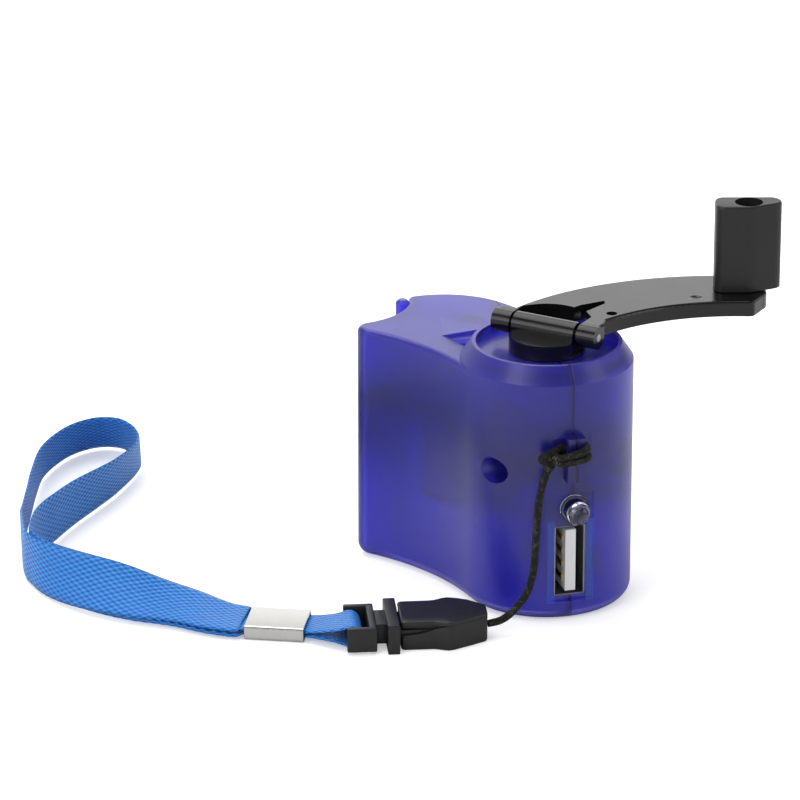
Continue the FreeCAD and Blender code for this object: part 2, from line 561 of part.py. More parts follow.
def involute(angle):
    """tan(angle) less the angle."""
    return math.tan(angle) - angle


def tooth_outline(teeth, phase, thinner):
    """Corner points of a straight-flanked gear: two at the root and two at the tip of each tooth."""
    module = value("gear_module")
    pressure = math.radians(value("pressure_angle"))
    pitch = module * teeth / 2
    base = pitch * math.cos(pressure)
    half_tooth = math.pi / (2 * teeth) - thinner / (4 * pitch)
    corners = []
    rings = [pitch - DEDENDUM * module, pitch + ADDENDUM * module]
    spread = []
    for radius in rings:
        roll = math.acos(min(1.0, base / max(radius, base)))
        spread.append(half_tooth + involute(pressure) - involute(roll))
    for tooth in range(teeth):
        middle = phase + 2 * math.pi * tooth / teeth
        flanks = ((rings[0], -spread[0]), (rings[1], -spread[1]), (rings[1], spread[1]), (rings[0], spread[0]))
        for radius, angle in flanks:
            corners.append(Vector(radius * math.cos(middle + angle), radius * math.sin(middle + angle), 0))
    corners.append(corners[0])
    return corners


def gear(name, teeth_name, phase, bottom, width, x="0", y="0"):
    """Toothed disc of a tooth count, standing at x, y."""
    teeth = int(round(value(teeth_name)))
    wire = Part.makePolygon(tooth_outline(teeth, math.radians(phase), BACKLASH))
    disc = Part.Face(wire).extrude(Vector(0, 0, value(width)))
    toothed = doc.addObject("Part::Feature", name)
    toothed.Shape = disc
    return place(toothed, x, y, bottom)


def mesh_phase(direction, phase, teeth, other):
    """Phase of the other gear in degrees so that its gap meets the tooth of the first."""
    return direction + 180 + 180.0 / other + (direction - phase) * teeth / other


COUNTS = [value(name) for name in ("drive_teeth", "first_pinion_teeth", "first_gear_teeth", "second_pinion_teeth",
                                   "second_gear_teeth", "rotor_pinion_teeth")]
phase_first = mesh_phase(value("first_angle"), 0.0, COUNTS[0], COUNTS[1])
phase_second = mesh_phase(value("second_angle"), 0.0, COUNTS[2], COUNTS[3])
phase_rotor = mesh_phase(value("rotor_angle"), 0.0, COUNTS[4], COUNTS[5])

drive_disc = gear("drive_disc", "drive_teeth", 0.0, "drive_bottom", "drive_width")
drive_sleeve = rod("drive_sleeve", "bush_radius", "drive_bottom - plate_bottom - plate_thickness - 0.1", "0", "0",
                   "plate_bottom + plate_thickness + 0.15")
drive_bore = rod("drive_bore", "shaft_radius", "20", "0", "0", "plate_bottom")
finish(cut("drive_gear_solid", fuse("drive_blank", drive_disc, drive_sleeve), drive_bore), "drive_gear")

PLATE_TOP = "plate_bottom + plate_thickness"
first_disc = gear("first_disc", "first_gear_teeth", 0.0, "first_bottom", "first_width", FIRST_X, FIRST_Y)
first_pinion = gear("first_pinion", "first_pinion_teeth", phase_first, "first_bottom + first_width - 0.1",
                    "drive_bottom + drive_width + 0.2 - first_bottom - first_width", FIRST_X, FIRST_Y)
first_sleeve = rod("first_sleeve", "sleeve_radius", "first_bottom - plate_bottom - plate_thickness - 0.1", FIRST_X,
                   FIRST_Y, PLATE_TOP + " + 0.15")
first_bore = rod("first_bore", "axle_radius + running_gap", "20", FIRST_X, FIRST_Y, "plate_bottom")
finish(cut("idler_gear_1_solid", fuse("first_blank", first_disc, first_pinion, first_sleeve), first_bore),
       "idler_gear_1")
second_disc = gear("second_disc", "second_gear_teeth", 0.0, "second_bottom", "second_width", SECOND_X, SECOND_Y)
second_pinion = gear("second_pinion", "second_pinion_teeth", phase_second, "second_bottom + second_width - 0.1",
                     "first_bottom + first_width + 0.2 - second_bottom - second_width", SECOND_X, SECOND_Y)
second_sleeve = rod("second_sleeve", "sleeve_radius", "second_bottom - plate_bottom - plate_thickness - 0.1",
                    SECOND_X, SECOND_Y, PLATE_TOP + " + 0.15")
second_bore = rod("second_bore", "axle_radius + running_gap", "20", SECOND_X, SECOND_Y, "plate_bottom")
finish(cut("idler_gear_2_solid", fuse("second_blank", second_disc, second_pinion, second_sleeve), second_bore),
       "idler_gear_2")
finish(rod("idler_axle_1_solid", "axle_radius", "ceiling + 0.5 - plate_bottom", FIRST_X, FIRST_Y, "plate_bottom"),
       "idler_axle_1")
finish(rod("idler_axle_2_solid", "axle_radius", SECOND_AXLE_LENGTH, SECOND_X, SECOND_Y, "plate_bottom"),
       "idler_axle_2")

# ---- gear plate and generator -----------------------------------------------------------------
plate_body, _ = case_body("plate_blank", "(wall + 0.25)", "plate_bottom", "plate_thickness", "left_fillet - wall",
                          "right_fillet")
plate_bush_hole = rod("plate_bush_hole", "bush_radius", "4", "0", "0", "plate_bottom - 1")
plate_first_hole = rod("plate_first_hole", "axle_radius", "4", FIRST_X, FIRST_Y, "plate_bottom - 1")
plate_second_hole = rod("plate_second_hole", "axle_radius", "4", SECOND_X, SECOND_Y, "plate_bottom - 1")
plate_rotor_hole = rod("plate_rotor_hole", "1.8", "4", ROTOR_X, ROTOR_Y, "plate_bottom - 1")
SCREW_REACH = "5.2"
gen_screw_a = (ROTOR_X + " - " + SCREW_REACH, ROTOR_Y)
gen_screw_b = (ROTOR_X, ROTOR_Y + " - " + SCREW_REACH)
plate_screw_a = rod("plate_screw_a", "0.8", "4", gen_screw_a[0], gen_screw_a[1], "plate_bottom - 2")
plate_screw_b = rod("plate_screw_b", "0.8", "4", gen_screw_b[0], gen_screw_b[1], "plate_bottom - 2")
finish(cut("gear_plate_solid", plate_body, plate_bush_hole, plate_first_hole, plate_second_hole, plate_rotor_hole,
           plate_screw_a, plate_screw_b), "gear_plate")

can_outer = rod("can_outer", "can_radius", "plate_bottom - can_bottom", ROTOR_X, ROTOR_Y, "can_bottom")
can_inner = rod("can_inner", "can_radius - can_sheet", "plate_bottom - can_bottom - can_sheet + 1", ROTOR_X,
                ROTOR_Y, "can_bottom - 1")
can_top_hole = rod("can_top_hole", "1.8", "6", ROTOR_X, ROTOR_Y, "plate_bottom - 3")
can_screw_a = rod("can_screw_a", "0.8", "4", gen_screw_a[0], gen_screw_a[1], "plate_bottom - 2")
can_screw_b = rod("can_screw_b", "0.8", "4", gen_screw_b[0], gen_screw_b[1], "plate_bottom - 2")
finish(cut("generator_can_solid", can_outer, can_inner, can_top_hole, can_screw_a, can_screw_b), "generator_can")
cap_disc = rod("cap_disc", "can_radius", "cap_thickness", ROTOR_X, ROTOR_Y, "can_bottom - cap_thickness")
cap_plug = rod("cap_plug", "can_radius - can_sheet", "0.8", ROTOR_X, ROTOR_Y, "can_bottom - 0.1")
cap_bore = rod("cap_bore", "rotor_shaft_radius + running_gap", "6", ROTOR_X, ROTOR_Y, "can_bottom - 1")
finish(cut("generator_cap_solid", fuse("cap_blank", cap_disc, cap_plug), cap_bore), "generator_cap")
stator_tube = rod("stator_tube", "stator_outer", "rotor_height - 0.6", ROTOR_X, ROTOR_Y, "rotor_bottom + 0.3")
stator_bore = rod("stator_bore", "stator_inner", "rotor_height + 2", ROTOR_X, ROTOR_Y, "rotor_bottom - 1")
finish(cut("stator_winding_solid", stator_tube, stator_bore), "stator_winding")
magnet = rod("magnet", "rotor_radius", "rotor_height", ROTOR_X, ROTOR_Y, "rotor_bottom")
magnet_bore = rod("magnet_bore", "rotor_shaft_radius", "rotor_height + 2", ROTOR_X, ROTOR_Y, "rotor_bottom - 1")
finish(cut("rotor_magnet_solid", magnet, magnet_bore), "rotor_magnet")
ROTOR_TOP = "first_bottom - 0.4"
finish(rod("generator_shaft_solid", "rotor_shaft_radius", ROTOR_TOP + " - can_bottom + 0.9", ROTOR_X, ROTOR_Y,
           "can_bottom - 0.9"), "generator_shaft")
rotor_pinion = gear("rotor_pinion", "rotor_pinion_teeth", phase_rotor, "second_bottom - 0.4",
                    "second_width + 0.8", ROTOR_X, ROTOR_Y)
rotor_pinion_bore = rod("rotor_pinion_bore", "rotor_shaft_radius", "10", ROTOR_X, ROTOR_Y, "second_bottom - 4")
finish(cut("generator_pinion_solid", rotor_pinion, rotor_pinion_bore), "generator_pinion")
gen_sleeve = rod("gen_sleeve", "1.8", "plate_thickness + can_sheet", ROTOR_X, ROTOR_Y, "plate_bottom - can_sheet")
gen_bore = rod("gen_bore", "rotor_shaft_radius + running_gap", "6", ROTOR_X, ROTOR_Y, "plate_bottom - 3")
finish(cut("generator_bush_solid", gen_sleeve, gen_bore), "generator_bush")


def small_screw(name, spot):
    """Round-headed screw through the plate into the can."""
    stem = rod(name + "_stem", "0.8", "plate_thickness + can_sheet + 0.1", spot[0], spot[1],
               "plate_bottom - can_sheet")
    head = rod(name + "_head", "1.4", "0.7", spot[0], spot[1], "plate_bottom + plate_thickness")
    return fuse(name, stem, head)


screw_pair = [small_screw("gen_screw_1", gen_screw_a), small_screw("gen_screw_2", gen_screw_b)]
finish(fuse("generator_screws_solid", *screw_pair), "generator_screws")

# ---- circuit board and parts on it ------------------------------------------------------------
BOARD_RIGHT = "board_x + board_thickness"
finish(box("circuit_board_solid", "board_x", BOARD_RIGHT, "board_front", "board_back", "board_bottom",
           "board_top"), "circuit_board")
usb_block = box("usb_block", "-usb_width / 2", "usb_width / 2", "panel_y + usb_recess", "panel_y + usb_depth",
                "usb_bottom", "usb_bottom + usb_height")
usb_room = box("usb_room", "-usb_width / 2 + usb_sheet", "usb_width / 2 - usb_sheet", "panel_y - 1",
               "panel_y + usb_depth - 0.8", "usb_bottom + usb_sheet", "usb_bottom + usb_height - usb_sheet")
finish(cut("usb_shell_solid", usb_block, usb_room), "usb_shell")
finish(box("usb_tongue_solid", "tongue_left", "tongue_left + tongue_thickness", "panel_y + 0.5",
           "panel_y + usb_depth - 0.8", "usb_bottom + 0.9", "usb_bottom + usb_height - 0.9"), "usb_tongue")
contact_list = []
for index in range(4):
    z_low = "usb_bottom + usb_height / 2 + %s - 0.5" % ((index - 1.5) * 2.4)
    contact_list.append(box("contact_%d" % (index + 1), "tongue_left - 0.2", "tongue_left", "panel_y + 2",
                            "panel_y + usb_depth - 1.5", z_low, z_low + " + 1.0"))
finish(fuse("usb_contacts_solid", *contact_list), "usb_contacts")

lens_rod = rod("lens_rod", "lamp_radius", "lamp_length", "lamp_x", "panel_y - lamp_reach", "lamp_z", (0, 1, 0))
lens_dome = doc.addObject("Part::Sphere", "lens_dome")
bind(lens_dome, "Radius", "lamp_radius")
place(lens_dome, "lamp_x", "panel_y - lamp_reach", "lamp_z")
lens_flange = rod("lens_flange", "lamp_radius + 0.45", "0.7", "lamp_x", "panel_y - 0.7", "lamp_z", (0, 1, 0))
finish(fuse("led_lens_solid", lens_rod, lens_dome, lens_flange), "led_lens")


def bent_wire(name, points, radius):
    """Round wire along corners, each corner an arc tangent to its two runs."""
    pieces = []
    corners = [Vector(*point) for point in points]
    start = corners[0]
    for index in range(1, len(corners) - 1):
        before = corners[index].sub(corners[index - 1])
        after = corners[index + 1].sub(corners[index])
        half_turn = before.getAngle(after) / 2
        reach = 0.45 * min(before.Length, after.Length)
        near = corners[index].sub(Vector(before).normalize().multiply(reach))
        far = corners[index].add(Vector(after).normalize().multiply(reach))
        bend = reach / math.tan(half_turn)
        inward = Vector(after).normalize().sub(Vector(before).normalize()).normalize()
        middle = corners[index].add(inward.multiply(bend / math.cos(half_turn) - bend))
        pieces.append(Part.LineSegment(start, near).toShape())
        pieces.append(Part.Arc(near, middle, far).toShape())
        start = far
    pieces.append(Part.LineSegment(start, corners[-1]).toShape())
    path = Part.Wire(pieces)
    first = corners[1].sub(corners[0])
    section = Part.Wire([Part.Circle(corners[0], first, radius).toShape()])
    tube = path.makePipeShell([section], True, False)
    thing = doc.addObject("Part::Feature", name)
    thing.Shape = tube
    expected = math.pi * radius ** 2 * path.Length
    if abs(tube.Volume - expected) > 0.02 * expected:
        print("tube", name, "volume", tube.Volume, "expected", expected)
    return thing


lamp_z = value("lamp_z")
lens_back = value("panel_y") - value("lamp_reach") + value("lamp_length")
lamp_x = value("lamp_x")
board_x = value("board_x")
leg_list = []
for index, shift in enumerate((-0.9, 0.9)):
    leg = [(lamp_x, lens_back - 0.4, lamp_z + shift), (lamp_x, lens_back + 2.2, lamp_z + shift),
           (board_x, lens_back + 2.2, lamp_z + shift)]
    leg_list.append(bent_wire("leg_%d" % (index + 1), leg, 0.25))
leg_plug = cut("leg_plug", fuse("legs", *leg_list), lens_rod)
finish(leg_plug, "led_leads")

finish(rod("capacitor_solid", "2.4", "6.2", "board_x", "2.6", "7.5", (-1, 0, 0)), "capacitor")
finish(rod("inductor_solid", "2.8", "3.0", BOARD_RIGHT, "-6.5", "8", (1, 0, 0)), "inductor")
finish(box("converter_chip_solid", BOARD_RIGHT, BOARD_RIGHT + " + 1.4", "-1.5", "2.5", "6", "10"),
       "converter_chip")
diode_list = []
for index in range(4):
    low = 12.4 + 1.5 * index
    diode_list.append(box("diode_%d" % (index + 1), BOARD_RIGHT, BOARD_RIGHT + " + 1.1", "-2.6", "0.8",
                          str(low), str(low + 1.0)))
finish(fuse("rectifier_diodes_solid", *diode_list), "rectifier_diodes")
rotor_x = value(ROTOR_X)
rotor_y = value(ROTOR_Y)
cap_low = value("can_bottom") - value("cap_thickness")
lead_x = rotor_x + 3.0
lead_y = rotor_y - 4.0
entry_y = value("board_back") - 1.1
LEAD_DROP = 2.0
lead_list = []
for index, shift in enumerate((0.0, 2.2)):
    level = cap_low - LEAD_DROP - shift / 2
    lead = [(lead_x - shift, lead_y, cap_low), (lead_x - shift, lead_y, level), (-0.5, entry_y - shift / 2, level),
            (board_x, entry_y - shift / 2, level)]
    lead_list.append(bent_wire("lead_%d" % (index + 1), lead, 0.35))
finish(fuse("generator_leads_solid", *lead_list), "generator_leads")

# ---- lanyard ----------------------------------------------------------------------------------
CORD_ROUTE = [(-4.9, -16.9, 29.6), (-6.1, -17.0, 26.4), (-6.8, -17.1, 22.6), (-7.1, -17.15, 18.6),
              (-7.3, -17.2, 14.6), (-7.7, -17.3, 10.6), (-8.8, -17.45, 7.2), (-11.0, -17.7, 4.5),
              (-13.4, -17.95, 3.0), (-16.0, -18.2, 2.65)]
finish(bent_wire("lanyard_cord_solid", CORD_ROUTE, value("cord_radius")), "lanyard_cord")
# The hitch: a band as high as two cords round the bar of the bracket, with its knot on the left.


def hitch_band(name, grow, low, tall):
    """Long upright loop about the bar, grown by a reach."""
    reach = "((bar_back - bar_front) / 2 + 0.1 + %s)" % grow
    return prism(name, rounded("(2.4 + %s)" % reach, reach, "(0.94 * %s)" % reach), low, tall)


band_outer = hitch_band("band_outer", "2 * cord_radius", "-2 * cord_radius", "4 * cord_radius")
doc.recompute()
level_edges = edges_where(band_outer.Tip.Shape,
                          lambda edge, middle: abs(edge.tangentAt(edge.FirstParameter).z) < 0.1)
round_off(band_outer, "band_round", band_outer.Tip, level_edges, "0.9 * cord_radius")
band_inner = hitch_band("band_inner", "0", "-4 * cord_radius", "8 * cord_radius")
knot = doc.addObject("Part::Ellipsoid", "knot")
knot.Radius1 = 1.2
knot.Radius2 = 1.7
knot.Radius3 = 1.2
place(knot, "-4.0", "-0.1", "0")
hitch_solid = fuse("hitch_solid", cut("band", band_outer, band_inner), knot)
HITCH_Y = "(bar_front + bar_back) / 2"
HITCH_Z = "(eye_bottom + eye_top) / 2 + 0.2"
HITCH_SPOT = Vector(-1.0, value(HITCH_Y), value(HITCH_Z))
HITCH_TILT = Rotation(Vector(0, 1, 0), -9.0)
hitch_solid.Placement = Placement(HITCH_SPOT, HITCH_TILT)
bind(hitch_solid, "Placement.Base.y", HITCH_Y)
bind(hitch_solid, "Placement.Base.z", HITCH_Z)
finish(hitch_solid, "lanyard_hitch")


def buckle(thing, x="0", y="0", z="0"):
    """Set an object out from the tip of the buckle, x along the buckle towards the tip."""
    return place(thing, "tip_x + (%s) * cos(buckle_turn) - (%s) * sin(buckle_turn)" % (x, y),
                 "tip_y + (%s) * sin(buckle_turn) + (%s) * cos(buckle_turn)" % (x, y), z, "buckle_turn")


def buckle_prism(name, points, z0, height):
    """Padded outline in the frame of the buckle."""
    return prism(name, points, z0, height, "tip_x", "tip_y", "buckle_turn")


def buckle_box(name, x0, x1, y0, y1, z0, z1):
    """Block in the frame of the buckle."""
    return buckle_prism(name, [(x0, y0), (x1, y0), (x1, y1), (x0, y1)], z0, "(%s) - (%s)" % (z1, z0))


SOCKET_OUTLINE = [("-15.0", "-4.2"), ("-9.3", "-4.2"), ("-7.0", "-5.2"), ("0", "-1.3"), ("0", "2.3"),
                  ("-3.0", "5.0"), ("-6.5", "6.4"), ("-8.5", "5.1"), ("-15.0", "5.1")]
socket_blank = buckle_prism("socket_blank", SOCKET_OUTLINE, "0", "buckle_height")
socket_room = buckle_box("socket_room", "-16", "-6.2", "-3.0", "3.9", "1.2", "buckle_height - 1.2")
cord_mouth = rod("cord_mouth", "cord_radius", "2.5", "tip_x - 0.6", "tip_y + 0.12", "2.65", (0.98, -0.199, 0))
socket_slot = buckle_box("socket_slot", "-12.6", "-7.6", "4.4", "8", "1.6", "buckle_height - 1.6")
finish(cut("buckle_socket_solid", socket_blank, socket_room, socket_slot), "buckle_socket")
flange = buckle_box("flange", "-17.4", "-15.3", "-5.8", "6.6", "0", "buckle_height")
prong_neck = buckle_box("prong_neck", "-19.5", "-17.3", "-2.6", "3.9", "0.7", "buckle_height - 1.0")
tine_low = buckle_box("tine_low", "-15.4", "-6.8", "-2.7", "-1.3", "1.5", "buckle_height - 1.5")
tine_high = buckle_box("tine_high", "-15.4", "-6.8", "2.2", "3.6", "1.5", "buckle_height - 1.5")
tine_middle = buckle_box("tine_middle", "-15.4", "-11", "-0.4", "1.4", "1.5", "buckle_height - 1.5")
frame_outer = buckle_box("frame_outer", "-24.3", "-19.2", "-5.6", "5.7", "0.6", "buckle_height - 0.6")
frame_window = buckle_box("frame_window", "-22.7", "-20.3", "-4.35", "4.6", "0", "buckle_height")
bar_thin_top = buckle_box("bar_thin_top", "-25", "-22.6", "-4.35", "4.6", "3.2", "buckle_height")
bar_thin_bottom = buckle_box("bar_thin_bottom", "-25", "-22.6", "-4.35", "4.6", "0", "1.9")
frame_blank = fuse("frame_blank", flange, prong_neck, tine_low, tine_high, tine_middle, frame_outer)
finish(cut("buckle_prong_solid", frame_blank, frame_window, bar_thin_top, bar_thin_bottom), "buckle_prong")

CRIMP_SPOT = ("-49.8", "-5.4", "-24.1")


def crimp_prism(name, half_x, half_y, z0, height):
    """Block about the middle of the crimp, along it."""
    corners = [("-(%s)" % half_x, "-(%s)" % half_y), (half_x, "-(%s)" % half_y), (half_x, half_y),
               ("-(%s)" % half_x, half_y)]
    return prism(name, corners, z0, height, *CRIMP_SPOT)


crimp_block = crimp_prism("crimp_block", "crimp_length / 2", "crimp_width / 2", "0", "crimp_height")
doc.recompute()
long_edges = edges_where(crimp_block.Tip.Shape,
                         lambda edge, middle: abs(edge.tangentAt(edge.FirstParameter).x) > 0.99)
round_off(crimp_block, "crimp_round", crimp_block.Tip, long_edges, "0.8")
crimp_slot = crimp_prism("crimp_slot", "crimp_length", "ribbon_width / 2 + 0.05",
                         "crimp_height / 2 - ribbon_thickness - 0.1", "2 * ribbon_thickness + 0.2")
finish(cut("ribbon_crimp_solid", crimp_block, crimp_slot), "ribbon_crimp")

# ---- ribbon -----------------------------------------------------------------------------------
# One strip: out of the crimp below, round the bar of the buckle, back through the crimp above, along
# the doubled run on its edge, round the wide loop and back beside itself into the crimp.
HALF_WIDTH = value("ribbon_width") / 2
HALF_THICK = value("ribbon_thickness") / 2
PRESSED = HALF_THICK + 0.03
LOOSE = HALF_THICK + 0.15
CRIMP_MIDDLE = Vector(value(CRIMP_SPOT[0]), value(CRIMP_SPOT[1]), value("crimp_height / 2"))
CRIMP_TURN = Rotation(Vector(0, 0, 1), value(CRIMP_SPOT[2]))
CRIMP_ALONG = CRIMP_TURN.multVec(Vector(1, 0, 0))
TURN = Rotation(Vector(0, 0, 1), value("buckle_turn"))
TIP = Vector(value("tip_x"), value("tip_y"), 0)
UP = Vector(0, 0, 1)
BACK = TURN.multVec(Vector(0, 1, 0))


def from_tip(x, y, z):
    """Point in the frame of the buckle."""
    return TIP.add(TURN.multVec(Vector(x, y, z)))


def rectangle(centre, wide, thin):
    """Cross-section of the ribbon about a centre."""
    corners = []
    for across, deep in ((-1, -1), (1, -1), (1, 1), (-1, 1)):
        spot = centre.add(Vector(wide).multiply(across * HALF_WIDTH))
        corners.append(spot.add(Vector(thin).multiply(deep * HALF_THICK)))
    return Part.makePolygon(corners + [corners[0]])


def leaning(centre, heading, lean, lift):
    """Section of a ribbon that heads level: lean 0 stands on edge, 90 lies flat."""
    along = Vector(heading.x, heading.y, 0).normalize()
    side = Vector(-along.y, along.x, 0)
    turn = math.radians(lean)
    wide = Vector(UP).multiply(math.cos(turn)).add(Vector(side).multiply(math.sin(turn)))
    thin = Vector(side).multiply(math.cos(turn)).sub(Vector(UP).multiply(math.sin(turn)))
    return rectangle(centre.add(Vector(thin).multiply(lift)), wide, thin)


def smooth(points, count):
    """Evenly stepped points and headings on a smooth curve through the points."""
    curve = Part.BSplineCurve()
    curve.interpolate([Vector(x, y, 0) for x, y in points])
    steps = []
    for index in range(count):
        share = curve.parameterAtDistance(curve.length() * index / (count - 1), curve.FirstParameter)
        steps.append((curve.value(share), Vector(*curve.tangent(share)[0])))
    return steps


GROUND_RUN = [(-57.8, -7.2), (-62.4, -4.2), (-67.2, 0.4), (-72.5, 4.0), (-77.5, 8.6), (-82.0, 14.8),
              (-84.8, 21.5), (-85.9, 29.0)]
GROUND_LOOP = [(-85.7, 34.0), (-83.7, 43.5), (-80.0, 55.2), (-76.6, 65.7), (-72.8, 75.0), (-66.7, 82.7),
               (-61.0, 85.8), (-56.6, 84.8), (-54.5, 79.6), (-55.4, 73.0), (-61.4, 63.6), (-66.7, 57.2),
               (-72.7, 50.4), (-78.0, 43.6), (-81.6, 38.8), (-84.0, 34.0)]
RUN_LEAN = (85, 76, 66, 55, 44, 33, 22, 13, 7, 3)
LOOP_LEAN = 32
LEAN_WAY = Vector(-0.28, -0.96, 0)
EDGE_Z = 0.35
STEPS_RUN = 14
STEPS_LOOP = 34
LEAN_STEPS = 4
run = []
for index, (spot, heading) in enumerate(smooth(GROUND_RUN, STEPS_RUN)):
    lean = RUN_LEAN[index] if index < len(RUN_LEAN) else 0
    side = Vector(-heading.y, heading.x, 0).normalize()
    turn = math.radians(-lean)
    wide = Vector(UP).multiply(math.cos(turn)).add(side.multiply(math.sin(turn)))
    low_side = abs(wide.z) * HALF_WIDTH + math.sin(math.radians(lean)) * (HALF_THICK + LOOSE) + EDGE_Z
    edge = Vector(spot.x, spot.y, low_side - wide.z * HALF_WIDTH)
    run.append((edge.add(wide.multiply(HALF_WIDTH)), heading, lean))



def loop_section(spot, heading, steps_in):
    """Section of the wide loop, whose strip leans one way all round; it leans in over its first steps."""
    along = Vector(heading).normalize()
    turn = math.radians(LOOP_LEAN * min(1.0, steps_in / LEAN_STEPS))
    side = LEAN_WAY.sub(Vector(along).multiply(LEAN_WAY.dot(along)))
    wide = Vector(UP).multiply(math.cos(turn)).add(side.multiply(math.sin(turn))).normalize()
    low = Vector(spot.x, spot.y, EDGE_Z + 0.15)
    return rectangle(low.add(Vector(wide).multiply(HALF_WIDTH)), wide, wide.cross(along))


BAR_CENTRE = (-23.5, 0.1, 2.55)
REACH_POINT = (-26.2, 1.4, 1.9)
WRAP = 1.8
sections = []
for share in (0.04, 0.48):
    centre = CRIMP_MIDDLE.add(Vector(CRIMP_ALONG).multiply(share * value("crimp_length")))
    sections.append(leaning(centre, CRIMP_ALONG, 90, PRESSED))
across = TURN.multVec(Vector(1, 0, 0))
sections.append(leaning(from_tip(*REACH_POINT), CRIMP_ALONG.add(across), 90, 0.6))
for angle in (-90, -45, 0, 45, 90):
    turn = math.radians(angle)
    radial = Vector(across).multiply(math.cos(turn)).add(Vector(UP).multiply(math.sin(turn)))
    centre = from_tip(*BAR_CENTRE).add(Vector(radial).multiply(WRAP))
    sections.append(rectangle(centre, BACK, radial))
LEFTWARD = Vector(CRIMP_ALONG).multiply(-1)
sections.append(leaning(from_tip(*REACH_POINT), LEFTWARD.sub(across), -90, 1.3))
for share in (0.48, -0.48):
    centre = CRIMP_MIDDLE.add(Vector(CRIMP_ALONG).multiply(share * value("crimp_length")))
    sections.append(leaning(centre, LEFTWARD, -90, PRESSED))
for centre, heading, lean in run:
    sections.append(leaning(centre, heading, -lean, LOOSE))
for index, (spot, heading) in enumerate(smooth(GROUND_LOOP, STEPS_LOOP)):
    sections.append(loop_section(spot, heading, min(index, STEPS_LOOP - 1 - index)))
for centre, heading, lean in reversed(run):
    sections.append(leaning(centre, Vector(heading).multiply(-1), lean, LOOSE))
for share in (-0.48, -0.04):
    centre = CRIMP_MIDDLE.add(Vector(CRIMP_ALONG).multiply(share * value("crimp_length")))
    sections.append(leaning(centre, CRIMP_ALONG, 90, PRESSED))
wrist_ribbon = doc.addObject("Part::Feature", "wrist_ribbon_solid")
wrist_ribbon.Shape = Part.makeLoft(sections, True, True)
finish(wrist_ribbon, "wrist_ribbon")

# ---- checks and files -------------------------------------------------------------------------
NODES = [
    "shell_left", "shell_right", "housing_screw", "crank_hub", "hinge_pin", "crank_arm", "knob", "knob_pin",
    "crank_shaft", "shaft_clip", "top_bush", "lower_bush", "drive_gear", "idler_gear_1", "idler_gear_2",
    "idler_axle_1", "idler_axle_2", "gear_plate", "generator_can", "generator_cap", "stator_winding",
    "rotor_magnet", "generator_shaft", "generator_pinion", "generator_bush", "generator_screws", "circuit_board",
    "usb_shell", "usb_tongue", "usb_contacts", "led_lens", "led_leads", "capacitor", "inductor", "converter_chip",
    "rectifier_diodes", "generator_leads", "lanyard_cord", "lanyard_hitch", "buckle_socket", "buckle_prong",
    "ribbon_crimp", "wrist_ribbon",
]
doc.recompute()
faults = []
for thing in doc.Objects:
    if "Invalid" in thing.State or "Error" in thing.State:
        faults.append("%s state %s" % (thing.Name, thing.State))
for node in NODES:
    found = doc.getObjectsByLabel(node)
    if len(found) != 1:
        faults.append("%s has %d objects" % (node, len(found)))
        continue
    shape = found[0].Shape
    if shape.isNull() or not shape.isValid() or shape.Volume <= 0:
        faults.append("%s is not a valid solid" % node)
if faults:
    raise RuntimeError("; ".join(faults))
os.makedirs("parts", exist_ok=True)
for node in NODES:
    shape = doc.getObjectsByLabel(node)[0].Shape
    shape.exportStep("parts/%s.step" % node)
    print("%-20s solids %d volume %.2f" % (node, len(shape.Solids), shape.Volume))
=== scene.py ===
# %% [markdown]
# # Hand crank phone charger
# The object is a palm-sized generator: a frosted blue case, a black folding crank on top, a USB socket
# with a lamp in front, and a wrist lanyard with a side buckle, a metal crimp and a woven ribbon.
# The hard parts come in as solids and get finishes. The soft parts, the buckle and the crimp are made
# again here as surfaces worked out with numpy, because their real forms are rounder than the solids.

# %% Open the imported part
import json
import math

import bpy
import numpy as np
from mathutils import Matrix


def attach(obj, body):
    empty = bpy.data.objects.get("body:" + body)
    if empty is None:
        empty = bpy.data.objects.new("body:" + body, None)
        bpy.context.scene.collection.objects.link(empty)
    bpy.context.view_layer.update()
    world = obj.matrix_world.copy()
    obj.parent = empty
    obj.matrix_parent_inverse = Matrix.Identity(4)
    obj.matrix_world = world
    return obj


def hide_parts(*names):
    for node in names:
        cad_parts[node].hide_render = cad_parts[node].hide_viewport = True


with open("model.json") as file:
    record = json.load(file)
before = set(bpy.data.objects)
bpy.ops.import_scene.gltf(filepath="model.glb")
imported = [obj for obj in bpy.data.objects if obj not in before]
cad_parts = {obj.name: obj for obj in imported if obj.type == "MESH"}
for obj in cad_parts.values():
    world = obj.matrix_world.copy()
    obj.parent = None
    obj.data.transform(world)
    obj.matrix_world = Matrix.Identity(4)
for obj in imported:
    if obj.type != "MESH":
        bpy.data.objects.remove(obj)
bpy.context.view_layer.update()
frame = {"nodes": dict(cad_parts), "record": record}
nodes = frame["nodes"]

# %% [markdown]
# ## Camera
# A long lens from about 0.9 m away, a little to the left of the socket and looking down by 21 degrees.
# A long lens keeps the upright edges of the case nearly parallel, as in a catalogue picture.

# %% Camera
LENS = 225.0
CAMERA_PLACE = (-0.2510, -0.7675, 0.34456)
LOOK_DOWN = 0.366
LOOK_RIGHT = math.atan2(0.281, 0.960)
camera_data = bpy.data.cameras.new("camera")
camera_data.lens = LENS
camera_data.sensor_width = 36.0
camera_data.clip_start = 0.05
camera_data.clip_end = 20.0
camera = bpy.data.objects.new("camera", camera_data)
camera.location = CAMERA_PLACE
camera.rotation_euler = (math.pi / 2 - LOOK_DOWN, 0.0, -LOOK_RIGHT)
bpy.context.scene.collection.objects.link(camera)
bpy.context.scene.camera = camera
print("camera looks down by", round(math.degrees(LOOK_DOWN), 1), "degrees")

